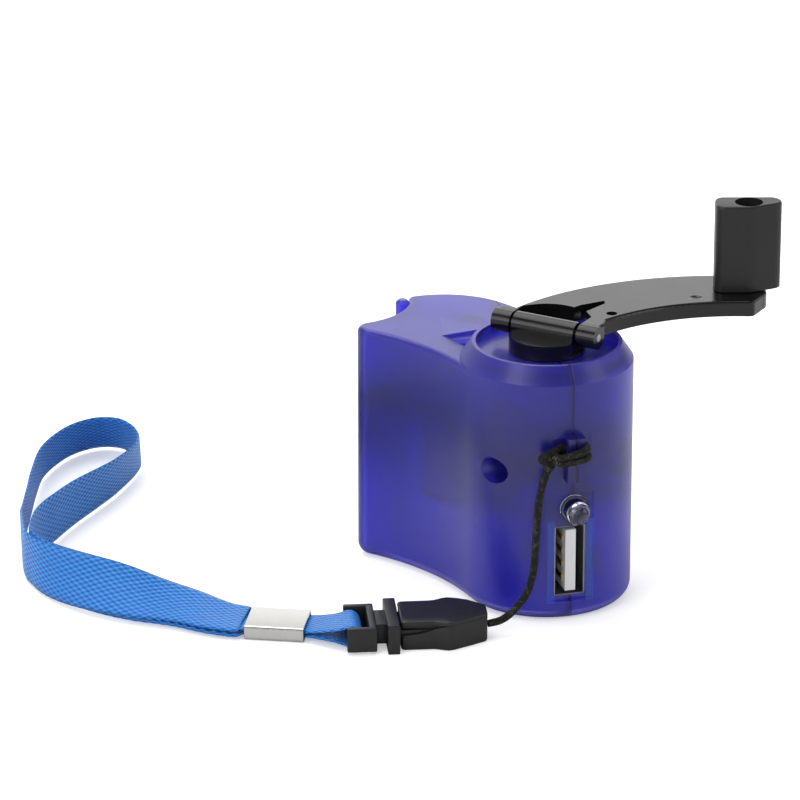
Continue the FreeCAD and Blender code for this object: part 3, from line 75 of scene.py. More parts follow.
# %% [markdown]
# ## Floor, world and lamps
# A product stands on a white sweep. The floor is a matt white sheet that also glows a little to the
# camera and to clear plastic, so it reads as white while the shadow of the object stays.
# Four wide lamps give soft light: one above, one low behind that puts a sheen on the level faces,
# one from the front left and one weaker from the right.

# %% Shader helpers
bpy.context.scene.view_settings.view_transform = "Standard"


def new_material(name):
    """An empty node material. Returns the material, its node list and its links."""
    material = bpy.data.materials.new(name)
    material.use_nodes = True
    material.node_tree.nodes.clear()
    return material, material.node_tree.nodes, material.node_tree.links


def add(nodes_of, kind, **values):
    """A node with its settings and plain input values. Inputs are given by name, with _ for a space."""
    node = nodes_of.new(kind)
    for key, value in values.items():
        socket = node.inputs.get(key.replace("_", " "))
        if hasattr(node, key):
            setattr(node, key, value)
        elif socket is not None:
            socket.default_value = value
        else:
            raise KeyError(key)
    return node


def calc(nodes_of, links, kind, *values):
    """One math step on sockets or numbers."""
    node = add(nodes_of, "ShaderNodeMath", operation=kind)
    for index, value in enumerate(values):
        if isinstance(value, (int, float)):
            node.inputs[index].default_value = value
        else:
            links.new(value, node.inputs[index])
    return node.outputs[0]


def ranged(nodes_of, links, value, old, new=(0.0, 1.0), eased=False):
    """A value moved from an old range to a new one and held at both ends, on a straight or eased line."""
    node = add(nodes_of, "ShaderNodeMapRange", interpolation_type="SMOOTHSTEP" if eased else "LINEAR")
    for name, number in zip(("From Min", "From Max", "To Min", "To Max"), (*old, *new)):
        node.inputs[name].default_value = number
    links.new(value, node.inputs["Value"])
    return node.outputs["Result"]


def seen_directly(nodes_of, links):
    """1 for rays from the camera and through clear plastic, 0 for gloss and for light that is thrown on."""
    path = add(nodes_of, "ShaderNodeLightPath")
    camera_ray, clear_ray = path.outputs["Is Camera Ray"], path.outputs["Is Transmission Ray"]
    return calc(nodes_of, links, "MAXIMUM", camera_ray, clear_ray)


# %% Floor
FLOOR_HALF = 6.0
FLOOR_WHITE = (0.80, 0.80, 0.80, 1.0)
FLOOR_GLOW = 0.42
floor_mesh = bpy.data.meshes.new("floor")
floor_corners = [(-FLOOR_HALF, -FLOOR_HALF, 0.0), (FLOOR_HALF, -FLOOR_HALF, 0.0),
                 (FLOOR_HALF, FLOOR_HALF, 0.0), (-FLOOR_HALF, FLOOR_HALF, 0.0)]
floor_mesh.from_pydata(floor_corners, [], [(0, 1, 2, 3)])
floor = bpy.data.objects.new("floor", floor_mesh)
bpy.context.scene.collection.objects.link(floor)
floor_paper, tree, links = new_material("floor_paper")
matt = add(tree, "ShaderNodeBsdfDiffuse", Color=FLOOR_WHITE)
glow = add(tree, "ShaderNodeEmission", Color=(1.0, 1.0, 1.0, 1.0))
glow_amount = calc(tree, links, "MULTIPLY", seen_directly(tree, links), FLOOR_GLOW)
links.new(glow_amount, glow.inputs["Strength"])
both = add(tree, "ShaderNodeAddShader")
links.new(matt.outputs[0], both.inputs[0])
links.new(glow.outputs[0], both.inputs[1])
links.new(both.outputs[0], add(tree, "ShaderNodeOutputMaterial").inputs["Surface"])
floor_mesh.materials.append(floor_paper)

# %% World and lamps
# Gloss sees a room that is bright near the horizon and dimmer above, so level faces take a pale sheen
# and bevels stay deep in colour.
ROOM_LIGHT = 0.55
HORIZON_GLOSS = 0.88
CEILING_GLOSS = 0.13
SKY_FADE = (0.30, 0.80)
world = bpy.data.worlds.new("white_room")
bpy.context.scene.world = world
world.use_nodes = True
tree, links = world.node_tree.nodes, world.node_tree.links
tree.clear()
white = add(tree, "ShaderNodeBackground", Color=(1.0, 1.0, 1.0, 1.0))
strength = ranged(tree, links, seen_directly(tree, links), (0.0, 1.0), (ROOM_LIGHT, 1.0))
look = add(tree, "ShaderNodeTexCoord")
height = add(tree, "ShaderNodeSeparateXYZ")
links.new(look.outputs["Generated"], height.inputs[0])
sky = ranged(tree, links, height.outputs["Z"], SKY_FADE, (HORIZON_GLOSS, CEILING_GLOSS), eased=True)
path = add(tree, "ShaderNodeLightPath")
chosen = add(tree, "ShaderNodeMix", data_type="FLOAT")
links.new(path.outputs["Is Glossy Ray"], chosen.inputs[0])
links.new(strength, chosen.inputs[2])
links.new(sky, chosen.inputs[3])
links.new(chosen.outputs[0], white.inputs["Strength"])
links.new(white.outputs[0], add(tree, "ShaderNodeOutputWorld").inputs["Surface"])


def soft_lamp(name, place, target, side, watts):
    """A square area lamp that looks at a point."""
    data = bpy.data.lights.new(name, "AREA")
    data.energy = watts
    data.size = side
    lamp = bpy.data.objects.new(name, data)
    lamp.location = place
    aim = np.array(target) - np.array(place)
    flat = math.hypot(aim[0], aim[1])
    lamp.rotation_euler = (math.atan2(flat, -aim[2]), 0.0, math.atan2(-aim[0], aim[1]))
    bpy.context.scene.collection.objects.link(lamp)


soft_lamp("lamp_above", (-0.15, 0.35, 1.10), (0.0, 0.0, 0.02), 0.9, 8.0)
soft_lamp("lamp_behind", (0.28, 1.10, 0.55), (0.0, 0.0, 0.04), 1.2, 3.6)
soft_lamp("lamp_left", (-0.95, -0.55, 0.65), (-0.01, 0.0, 0.02), 0.7, 6.0)
soft_lamp("lamp_right", (0.85, -0.60, 0.50), (0.0, 0.0, 0.02), 0.6, 2.0)
print("floor, world and", len(bpy.data.lights), "lamps")

# %% [markdown]
# ## Shared surface effects
# Three effects come back in many finishes, so each is a node group with its own inputs and outputs:
# the skin that a mould leaves on plastic, the fine lines that drawing or turning leaves on metal,
# and the over-and-under of woven threads. Each gives masks and heights, and the shader stays outside.

# %% Group helper


def effect_group(name, inputs, outputs):
    """An empty shader node group with a vector input, float inputs and float outputs. Returns the group
    and its two end nodes."""
    group = bpy.data.node_groups.new(name, "ShaderNodeTree")
    group.interface.new_socket("Vector", in_out="INPUT", socket_type="NodeSocketVector")
    for socket_name, value in inputs:
        socket = group.interface.new_socket(socket_name, in_out="INPUT", socket_type="NodeSocketFloat")
        socket.default_value = value
    for socket_name in outputs:
        group.interface.new_socket(socket_name, in_out="OUTPUT", socket_type="NodeSocketFloat")
    return group, group.nodes.new("NodeGroupInput"), group.nodes.new("NodeGroupOutput")


# %% Mould skin: wide clouds and fine grain
mould_skin, start, end = effect_group("mould_skin", [("Cloud Scale", 60.0), ("Grain Scale", 2500.0)],
                                      ["Cloud", "Grain"])
inner, wires = mould_skin.nodes, mould_skin.links
cloud = add(inner, "ShaderNodeTexNoise", Detail=4.0, Roughness=0.55)
grain = add(inner, "ShaderNodeTexNoise", Detail=2.0, Roughness=0.6)
for noise, size in ((cloud, "Cloud Scale"), (grain, "Grain Scale")):
    wires.new(start.outputs["Vector"], noise.inputs["Vector"])
    wires.new(start.outputs[size], noise.inputs["Scale"])
wires.new(cloud.outputs["Fac"], end.inputs["Cloud"])
wires.new(grain.outputs["Fac"], end.inputs["Grain"])

# %% Metal lines: fine noise that a finish squeezes into lines, and wide stains
metal_lines, start, end = effect_group("metal_lines", [("Line Scale", 900.0)], ["Lines", "Stain"])
inner, wires = metal_lines.nodes, metal_lines.links
lines = add(inner, "ShaderNodeTexNoise", Detail=3.0, Roughness=0.6)
stain = add(inner, "ShaderNodeTexNoise", Scale=180.0, Detail=5.0, Roughness=0.6)
wires.new(start.outputs["Vector"], lines.inputs["Vector"])
wires.new(start.outputs["Line Scale"], lines.inputs["Scale"])
wires.new(start.outputs["Vector"], stain.inputs["Vector"])
wires.new(lines.outputs["Fac"], end.inputs["Lines"])
wires.new(stain.outputs["Fac"], end.inputs["Stain"])

# %% Weave: two sets of rounded threads that take turns on top
weave, start, end = effect_group("weave", [("Threads Along", 2600.0), ("Threads Across", 2200.0)],
                                 ["Height", "Over", "Fray"])
inner, wires = weave.nodes, weave.links
apart = add(inner, "ShaderNodeSeparateXYZ")
wires.new(start.outputs["Vector"], apart.inputs[0])
along = calc(inner, wires, "MULTIPLY", apart.outputs["X"], start.outputs["Threads Along"])
across = calc(inner, wires, "MULTIPLY", apart.outputs["Y"], start.outputs["Threads Across"])
wave_along = calc(inner, wires, "SINE", along)
wave_across = calc(inner, wires, "SINE", across)
turns = calc(inner, wires, "MULTIPLY", wave_along, wave_across)
fray = add(inner, "ShaderNodeTexNoise", Scale=900.0, Detail=4.0)
wires.new(start.outputs["Vector"], fray.inputs["Vector"])
wires.new(calc(inner, wires, "MULTIPLY_ADD", turns, 0.5, 0.5), end.inputs["Height"])
wires.new(calc(inner, wires, "GREATER_THAN", turns, 0.0), end.inputs["Over"])
wires.new(fray.outputs["Fac"], end.inputs["Fray"])
print("effect groups:", mould_skin.name, metal_lines.name, weave.name)

# %% [markdown]
# ## Finishes
# Each finish starts from one real material. Its colour moves a little between two close tones, its
# gloss is broken up by clouds or lines, and a fine bump catches the light.

# %% Finish helpers
finishes = {}


def object_vector(tree, links, squeeze=(1.0, 1.0, 1.0)):
    """Object coordinates, multiplied along each axis, which squeezes the pattern that reads them."""
    place = add(tree, "ShaderNodeTexCoord")
    mapping = add(tree, "ShaderNodeMapping")
    mapping.inputs["Scale"].default_value = squeeze
    links.new(place.outputs["Object"], mapping.inputs["Vector"])
    return mapping.outputs["Vector"]


def colour_mix(tree, links, mask):
    """A colour mix driven by a mask. Returns its two colour inputs and its colour output, because a mix
    node also has sockets of the same names for other kinds of data."""
    mix = add(tree, "ShaderNodeMix", data_type="RGBA")
    links.new(mask, mix.inputs["Factor"])
    first, second = [socket for socket in mix.inputs if socket.type == "RGBA"]
    return first, second, next(socket for socket in mix.outputs if socket.type == "RGBA")


def two_tones(tree, links, mask, first, second):
    """Colour between two tones by a mask."""
    low, high, result = colour_mix(tree, links, mask)
    low.default_value = (*first, 1.0)
    high.default_value = (*second, 1.0)
    return result


def spread(tree, links, mask, low, high):
    """A mask from 0.3 to 0.7, where noise lives, moved to a range of values."""
    return ranged(tree, links, mask, (0.3, 0.7), (low, high))


def relief(tree, links, height, depth, under=None):
    """A bump of a real depth in metres, on top of another one where under is given."""
    bump = add(tree, "ShaderNodeBump", Distance=depth)
    links.new(height, bump.inputs["Height"])
    if under is not None:
        links.new(under, bump.inputs["Normal"])
    return bump.outputs["Normal"]


def place_group(tree, links, group, vector, **values):
    """One use of an effect group, with its own values."""
    node = add(tree, "ShaderNodeGroup", node_tree=group)
    links.new(vector, node.inputs["Vector"])
    for key, value in values.items():
        node.inputs[key.replace("_", " ")].default_value = value
    return node


def shader(tree, links, **values):
    """The Principled shader wired to an output, with its plain values."""
    node = add(tree, "ShaderNodeBsdfPrincipled", **values)
    links.new(node.outputs[0], add(tree, "ShaderNodeOutputMaterial").inputs["Surface"])
    return node


def plastic(name, dark, light, gloss, cloud_scale=90.0, grain_scale=3500.0, depth=0.00001, **values):
    """Moulded plastic: two close tones in clouds, a gloss range, fine grain."""
    material, tree, links = new_material(name)
    skin = place_group(tree, links, mould_skin, object_vector(tree, links), Cloud_Scale=cloud_scale,
                       Grain_Scale=grain_scale)
    body = shader(tree, links, **values)
    links.new(two_tones(tree, links, skin.outputs["Cloud"], dark, light), body.inputs["Base Color"])
    links.new(spread(tree, links, skin.outputs["Cloud"], *gloss), body.inputs["Roughness"])
    links.new(relief(tree, links, skin.outputs["Grain"], depth), body.inputs["Normal"])
    finishes[name] = material


def metal(name, dark, light, gloss, squeeze=(1.0, 1.0, 12.0), line_scale=400.0, depth=0.000004, **values):
    """Bare metal: faint stains in its tone, fine lines in its gloss and relief."""
    material, tree, links = new_material(name)
    marks = place_group(tree, links, metal_lines, object_vector(tree, links, squeeze), Line_Scale=line_scale)
    body = shader(tree, links, Metallic=1.0, **values)
    links.new(two_tones(tree, links, marks.outputs["Stain"], dark, light), body.inputs["Base Color"])
    links.new(spread(tree, links, marks.outputs["Lines"], *gloss), body.inputs["Roughness"])
    links.new(relief(tree, links, marks.outputs["Lines"], depth), body.inputs["Normal"])
    finishes[name] = material


# %% [markdown]
# ### The case
# Clear plastic dyed blue, with a frosted inside, so light goes in and comes out blurred and the
# works show only as soft dark shapes. It could be a plain glass shader, but a part of the light
# scatters in the dye, so the transmission stays below one and the base keeps some colour of its own.
# The two halves meet on the plane x = 0. There the moulding has a fine joint line, a shallow groove.
# At the height of the gear plate and the generator a soft, cloudy band of painted shade darkens the plastic,
# for the shade of the works behind the frost. On both sides of the socket a painted highlight makes the cut
# edges of the panel a brighter blue.

# %% Case finish
SEAM_HALF = 0.00010
SEAM_SOFT = 0.00032
SEAM_DEPTH = 0.00025
GRAIN_DEPTH = 0.00002
WORKS_SHADE_LOW = 0.0240
WORKS_SHADE_HIGH = 0.0290
WORKS_SHADE_SOFT = 0.0110
LIP_INNER = 0.0029
LIP_OUTER = 0.0041
LIP_LOW = 0.0036
LIP_HIGH = 0.0182
LIP_EDGE_SOFT = 0.00015
LIP_END_SOFT = 0.0004
PANEL_FACE = -0.0139
DEEP_BLUE = (0.008, 0.006, 0.20)
CLEAR_BLUE = (0.050, 0.040, 0.62)
LIP_HIGHLIGHT_BLUE = (0.06, 0.20, 0.92)


def band(tree, links, value, low, high, soft):
    """1 between two limits, falling to 0 over a soft distance on both sides."""
    rise = ranged(tree, links, value, (low - soft, low), eased=True)
    fall = ranged(tree, links, value, (high, high + soft), (1.0, 0.0), eased=True)
    return calc(tree, links, "MULTIPLY", rise, fall)


material, tree, links = new_material("clear_case")
skin = place_group(tree, links, mould_skin, object_vector(tree, links), Cloud_Scale=45.0, Grain_Scale=1800.0)
case_axes = add(tree, "ShaderNodeSeparateXYZ")
links.new(add(tree, "ShaderNodeTexCoord").outputs["Object"], case_axes.inputs[0])
from_seam = calc(tree, links, "ABSOLUTE", case_axes.outputs["X"])
seam = ranged(tree, links, from_seam, (SEAM_HALF, SEAM_SOFT), eased=True)
case_body = shader(tree, links, Transmission_Weight=0.84, IOR=1.49, Specular_IOR_Level=0.5, Coat_Weight=0.12,
                   Coat_Roughness=0.08)
# Painted shade: a soft, cloudy band at the height of the gear plate and the generator pulls the base colour
# towards DEEP_BLUE.
painted_works_shade = calc(tree, links, "MULTIPLY", skin.outputs["Cloud"],
             band(tree, links, case_axes.outputs["Z"], WORKS_SHADE_LOW, WORKS_SHADE_HIGH, WORKS_SHADE_SOFT))
unshaded_share = calc(tree, links, "SUBTRACT", 1.0, painted_works_shade)
tone = calc(tree, links, "MULTIPLY", unshaded_share, seam)
# Painted highlight: a brighter blue strip on the cut edges of the panel, on both sides of the socket and on
# the front only.
lip = calc(tree, links, "MULTIPLY", band(tree, links, from_seam, LIP_INNER, LIP_OUTER, LIP_EDGE_SOFT),
           band(tree, links, case_axes.outputs["Z"], LIP_LOW, LIP_HIGH, LIP_END_SOFT))
on_front = calc(tree, links, "LESS_THAN", case_axes.outputs["Y"], PANEL_FACE)
lip_highlight_mask = calc(tree, links, "MULTIPLY", lip, on_front)
plain, bright, case_colour = colour_mix(tree, links, lip_highlight_mask)
links.new(two_tones(tree, links, tone, DEEP_BLUE, CLEAR_BLUE), plain)
bright.default_value = (*LIP_HIGHLIGHT_BLUE, 1.0)
links.new(case_colour, case_body.inputs["Base Color"])
links.new(spread(tree, links, skin.outputs["Cloud"], 0.31, 0.40), case_body.inputs["Roughness"])
groove = relief(tree, links, seam, SEAM_DEPTH)
links.new(relief(tree, links, skin.outputs["Grain"], GRAIN_DEPTH, under=groove), case_body.inputs["Normal"])
finishes["clear_case"] = material

# %% Plastics
plastic("black_plastic", (0.0035, 0.0035, 0.004), (0.007, 0.007, 0.008), (0.17, 0.28), depth=0.000008,
        Specular_IOR_Level=0.38)
plastic("knob_grey", (0.008, 0.008, 0.009), (0.014, 0.014, 0.015), (0.36, 0.48), depth=0.00002,
        Specular_IOR_Level=0.34)
plastic("buckle_black", (0.006, 0.006, 0.007), (0.011, 0.011, 0.012), (0.36, 0.50), depth=0.00002,
        Specular_IOR_Level=0.36)
plastic("gear_white", (0.62, 0.62, 0.58), (0.72, 0.71, 0.66), (0.35, 0.5), depth=0.00001)
plastic("plate_grey", (0.16, 0.16, 0.17), (0.22, 0.22, 0.23), (0.4, 0.55))
plastic("board_green", (0.02, 0.13, 0.05), (0.03, 0.18, 0.07), (0.25, 0.4), cloud_scale=400.0)
plastic("chip_black", (0.010, 0.010, 0.011), (0.022, 0.022, 0.023), (0.35, 0.5), cloud_scale=300.0)
plastic("tongue_grey", (0.60, 0.60, 0.60), (0.72, 0.72, 0.72), (0.35, 0.5))
plastic("wire_red", (0.45, 0.02, 0.02), (0.6, 0.04, 0.03), (0.3, 0.45))
plastic("magnet_grey", (0.05, 0.05, 0.055), (0.09, 0.09, 0.095), (0.45, 0.6), cloud_scale=200.0)
plastic("lens_clear", (0.78, 0.82, 0.97), (0.86, 0.89, 0.99), (0.005, 0.02), depth=0.000001,
        Transmission_Weight=1.0, IOR=1.50)

# %% Metals
metal("steel", (0.48, 0.48, 0.49), (0.60, 0.60, 0.61), (0.22, 0.38))
metal("bright_steel", (0.34, 0.34, 0.35), (0.42, 0.42, 0.43), (0.26, 0.38))
metal("nickel", (0.44, 0.435, 0.42), (0.50, 0.495, 0.48), (0.13, 0.20), squeeze=(3.0, 3.0, 1.0),
      depth=0.000001)
metal("brass_parts", (0.62, 0.45, 0.18), (0.74, 0.56, 0.24), (0.2, 0.35))
metal("gold_contact", (0.80, 0.58, 0.22), (0.90, 0.68, 0.30), (0.15, 0.25))
metal("copper_wire", (0.52, 0.20, 0.08), (0.68, 0.30, 0.13), (0.2, 0.4), squeeze=(1.0, 1.0, 40.0),
      line_scale=150.0, depth=0.00008)
print(len(finishes), "finishes so far")

# %% [markdown]
# ## Surfaces from grids
# Every new piece below is a sheet of points in rows: row by row along a path, point by point round a
# section. One helper turns such a grid into a mesh, closes it and writes its own map, in metres.

# %% Grid helper


def skin_of(name, rows, ends="flat", flat_map=None):
    """A mesh from rows[i, j], point j of section i. Quads join each section to the next, and the last
    point of a section to its first. ends is flat for one face over each end, or round to join the last
    section to the first. flat_map[i, j] holds two map values for each point of a mesh with flat ends."""
    count, around = rows.shape[:2]
    step = np.arange(count if ends == "round" else count - 1)
    i, j = np.meshgrid(step, np.arange(around), indexing="ij")
    j_next = (j + 1) % around
    row, row_next = i * around, ((i + 1) % count) * around
    faces = np.stack([row + j, row + j_next, row_next + j_next, row_next + j], -1).reshape(-1, 4).tolist()
    if ends == "flat":
        faces += [np.arange(around)[::-1].tolist(), (np.arange(around) + (count - 1) * around).tolist()]
    mesh = bpy.data.meshes.new(name)
    mesh.from_pydata(rows.reshape(-1, 3).tolist(), [], faces)
    mesh.polygons.foreach_set("use_smooth", np.full(len(faces), True))
    if flat_map is not None:
        layer = mesh.uv_layers.new(name="cloth_map")
        wide = np.concatenate([flat_map, flat_map[:, :1]], 1)
        picks = np.stack([wide[i, j], wide[i, j + 1], wide[i + 1, j + 1], wide[i + 1, j]], -2).reshape(-1, 2)
        spare = np.zeros((len(mesh.loops) - len(picks), 2))
        layer.data.foreach_set("uv", np.concatenate([picks, spare]).ravel())
    mesh.update()
    thing = bpy.data.objects.new(name, mesh)
    bpy.context.scene.collection.objects.link(thing)
    return thing


def shade_edges(thing, degrees):
    """Edges sharper than an angle stay crisp, the others are shaded smooth."""
    thing.data.set_sharp_from_angle(angle=math.radians(degrees))


def dense(points, count):
    """Evenly spaced points on a smooth curve through the given ones, and their distances along it. Between
    two given points the curve is a cubic, and at each its slope is half the step from the point before to
    the point after."""
    p = np.asarray(points, float)
    before = np.vstack([2 * p[:1] - p[1:2], p[:-1]])
    after = np.vstack([p[1:], 2 * p[-1:] - p[-2:-1]])
    slope = (after - before) / 2
    fine = 40
    t = np.linspace(0, 1, fine, endpoint=False)[:, None, None]
    a, b, m, n = p[:-1], p[1:], slope[:-1], slope[1:]
    curve = ((2 * t**3 - 3 * t**2 + 1) * a + (t**3 - 2 * t**2 + t) * m + (3 * t**2 - 2 * t**3) * b
             + (t**3 - t**2) * n)
    path = np.vstack([curve.transpose(1, 0, 2).reshape(-1, p.shape[1]), p[-1:]])
    run = np.concatenate([[0], np.cumsum(np.linalg.norm(np.diff(path[:, :3], axis=0), axis=1))])
    want = np.linspace(0, run[-1], count)
    return np.stack([np.interp(want, run, path[:, k]) for k in range(path.shape[1])], 1), want


def unit(vectors):
    """Vectors scaled to length one."""
    return vectors / np.linalg.norm(vectors, axis=-1, keepdims=True)


def tube_frames(path):
    """Two directions square to a path at each point. The first is carried on from the point before, less
    its part along the path. The second is square to the first and to the path."""
    heading = unit(np.gradient(path, axis=0))
    side = np.zeros_like(heading)
    side[0] = unit(np.cross(heading[0], (0.0, 1.0, 0.3)))
    for k in range(1, len(path)):
        side[k] = unit(side[k - 1] - heading[k] * np.dot(side[k - 1], heading[k]))
    return side, np.cross(heading, side)


# %% [markdown]
# ## Cord
# A thin braided cord runs from the hitch on the case down to the buckle on the floor. Eight strands
# cross over and under each other. A smooth tube would look like a wire, so the radius of the tube
# rises and falls with two families of spirals, one for each way that the strands wind.

# %% Cord finish
CORD_DARK = (0.0028, 0.0032, 0.0018)
CORD_GLINT = (0.085, 0.085, 0.062)
CORD_RELIEF = 0.00006
material, tree, links = new_material("cord_olive")
place = add(tree, "ShaderNodeUVMap", uv_map="cloth_map")
threads = place_group(tree, links, weave, place.outputs["UV"], Threads_Along=14000.0, Threads_Across=9000.0)
cord_skin = shader(tree, links, Sheen_Weight=0.04, Sheen_Roughness=0.4, Specular_IOR_Level=0.22)
# Painted highlight: light glints, placed by the fray noise on the threads that lie on top.
upper_fray = calc(tree, links, "MULTIPLY", threads.outputs["Fray"], threads.outputs["Over"])
painted_glints = spread(tree, links, upper_fray, -1.2, 1.1)
links.new(two_tones(tree, links, painted_glints, CORD_DARK, CORD_GLINT), cord_skin.inputs["Base Color"])
links.new(spread(tree, links, threads.outputs["Fray"], 0.55, 0.8), cord_skin.inputs["Roughness"])
links.new(relief(tree, links, threads.outputs["Height"], CORD_RELIEF), cord_skin.inputs["Normal"])
finishes["cord_olive"] = material

# %% Cord tube
CORD_RADIUS = 0.00065
STRANDS_EACH_WAY = 4
BRAID_LAY = 5.2
BRAID_CORE = 0.93
BRAID_SWING = 0.09
CORD_ROUTE = np.array([
    (-4.9, -16.9, 29.6), (-6.1, -17.0, 26.4), (-6.8, -17.1, 22.6), (-7.1, -17.15, 18.6), (-7.3, -17.2, 14.6),
    (-7.7, -17.3, 10.6), (-8.8, -17.45, 7.2), (-11.0, -17.7, 4.5), (-13.4, -17.95, 3.0), (-16.0, -18.2, 2.65),
]) / 1000


def braided(path, distance, radius, around=32):
    """Rows of a braided tube, and their map. At angle a and distance s the radius is a core share of the
    plain one, plus a small swing of the larger of cos 4(a + ks) and cos 4(a - ks), which are strands that
    wind both ways. k is one over the lay."""
    side, other = tube_frames(path)
    angle = np.linspace(0, 2 * np.pi, around, endpoint=False)[None, :]
    wind = (distance / (BRAID_LAY * radius))[:, None]
    one_way = np.cos(STRANDS_EACH_WAY * (angle + wind))
    other_way = np.cos(STRANDS_EACH_WAY * (angle - wind))
    swell = radius * (BRAID_CORE + BRAID_SWING * np.maximum(one_way, other_way))
    round_it = np.cos(angle)[..., None] * side[:, None] + np.sin(angle)[..., None] * other[:, None]
    rows = path[:, None] + swell[..., None] * round_it
    along = np.broadcast_to(distance[:, None], swell.shape)
    return rows, np.stack([along, np.broadcast_to(angle * radius, swell.shape)], -1)


cord_path, cord_run = dense(CORD_ROUTE, 420)
cord_rows, cord_map = braided(cord_path, cord_run, CORD_RADIUS)
cord = skin_of("cord", cord_rows, flat_map=cord_map)
cord.data.materials.append(finishes["cord_olive"])

# %% [markdown]
# ## Hitch on the case
# The cord is doubled, passed round the moulded bar and knotted beside it. One long line drawn by hand
# could follow the whole hitch, but each turn would have to be placed by eye. So it is made of three
# curves with a formula. Two closed loops lie above each other round the bar. The knot is an overhand
# knot closed on itself: a tube along the trefoil curve, drawn so tight that its turns press together.

# %% Hitch
BAR_MIDDLE = np.array((-1.0, -16.75, 31.6)) / 1000
LOOP_HALF_X = 0.00300
LOOP_HALF_Y = 0.00130
LOOP_TILT = math.radians(9.0)
LOOP_GAP = 0.00062
LOOP_SWING = 0.00018
LOOP_PHASE = 2000.0
KNOT_PLACE = (-0.0040, -0.0001, 0.0)
KNOT_SIZE = (0.00042, 0.0006, 0.00050)


def tilted(points):
    """Points turned about Y by the tilt of the hitch, then moved to the bar."""
    c, s = math.cos(LOOP_TILT), math.sin(LOOP_TILT)
    x, y, z = points.T
    return np.stack([x * c - z * s, y, x * s + z * c], 1) + BAR_MIDDLE


def loop_line(height, steps=160):
    """Closed long oval: x = A |cos|^0.6, y = B |sin|^0.9 with their signs, at a height that swings a
    little once round, for each height from another place."""
    t = np.linspace(0, 2 * np.pi, steps, endpoint=False)
    x = LOOP_HALF_X * np.sign(np.cos(t)) * np.abs(np.cos(t)) ** 0.6
    y = (LOOP_HALF_Y + CORD_RADIUS) * np.sign(np.sin(t)) * np.abs(np.sin(t)) ** 0.9
    wave = LOOP_SWING * np.sin(t + height * LOOP_PHASE)
    return np.stack([x, y, height + wave], 1)


def knot_line(middle, size, steps=220):
    """Trefoil in an upright plane: across = sin t + 2 sin 2t, up = cos t - 2 cos 2t, and towards the case
    -0.8 sin 3t, each scaled."""
    t = np.linspace(0, 2 * np.pi, steps, endpoint=False)
    line = np.stack([np.sin(t) + 2 * np.sin(2 * t), 0.8 * -np.sin(3 * t), np.cos(t) - 2 * np.cos(2 * t)], 1)
    return line * np.array(size) + np.array(middle)


def closed_tube(line):
    """Braided rows along a closed line. The last section stands where the first one does."""
    path = tilted(np.vstack([line, line[:1]]))
    run = np.concatenate([[0], np.cumsum(np.linalg.norm(np.diff(path, axis=0), axis=1))])
    return braided(path, run, CORD_RADIUS, around=20)


hitch_parts = [loop_line(LOOP_GAP), loop_line(-LOOP_GAP), knot_line(KNOT_PLACE, KNOT_SIZE)]
hitch_things = []
for number, line in enumerate(hitch_parts):
    rows, flat = closed_tube(line)
    hitch_things.append(skin_of("hitch_%d" % number, rows, flat_map=flat))


def joined(name, things):
    """Several objects as one mesh."""
    with bpy.context.temp_override(active_object=things[0], selected_editable_objects=things):
        bpy.ops.object.join()
    things[0].name = name
    things[0].data.name = name
    return things[0]


hitch = joined("hitch", hitch_things)
hitch.data.materials.append(finishes["cord_olive"])
print("hitch faces", len(hitch.data.polygons))

# %% [markdown]
# ## Buckle
# The side buckle has two mouldings: a socket with an open window on each side, and a prong with a
# flange, a neck and a frame for the ribbon. A bevelled box with two holes cut in it would be quick, but
# the real windows narrow to nothing towards the tip. So the socket is a loft: one section is carried
# along its length, and its width and the window change on the way. The prong has only straight
# members, so it is a set of blocks with eased edges that run into each other.

# %% Frame of the buckle
# TIP is in metres, the heights and the eased edge are in millimetres, CRISP_EDGE is in degrees.
TIP = np.array((-16.2, -18.2, 0.0)) / 1000
BUCKLE_TURN = math.radians(-11.5)
BUCKLE_TOP = 5.3
SOCKET_ROOF = 4.55
SOCKET_SILL = 2.75
SOCKET_EDGE = 0.30
CRISP_EDGE = 28


def from_tip(points):
    """Points in the frame of the buckle, x towards the tip, put in place. Millimetres in, metres out."""
    points = np.asarray(points, float) / 1000
    c, s = math.cos(BUCKLE_TURN), math.sin(BUCKLE_TURN)
    x, y, z = points[..., 0], points[..., 1], points[..., 2]
    return np.stack([TIP[0] + x * c - y * s, TIP[1] + x * s + y * c, z], -1)


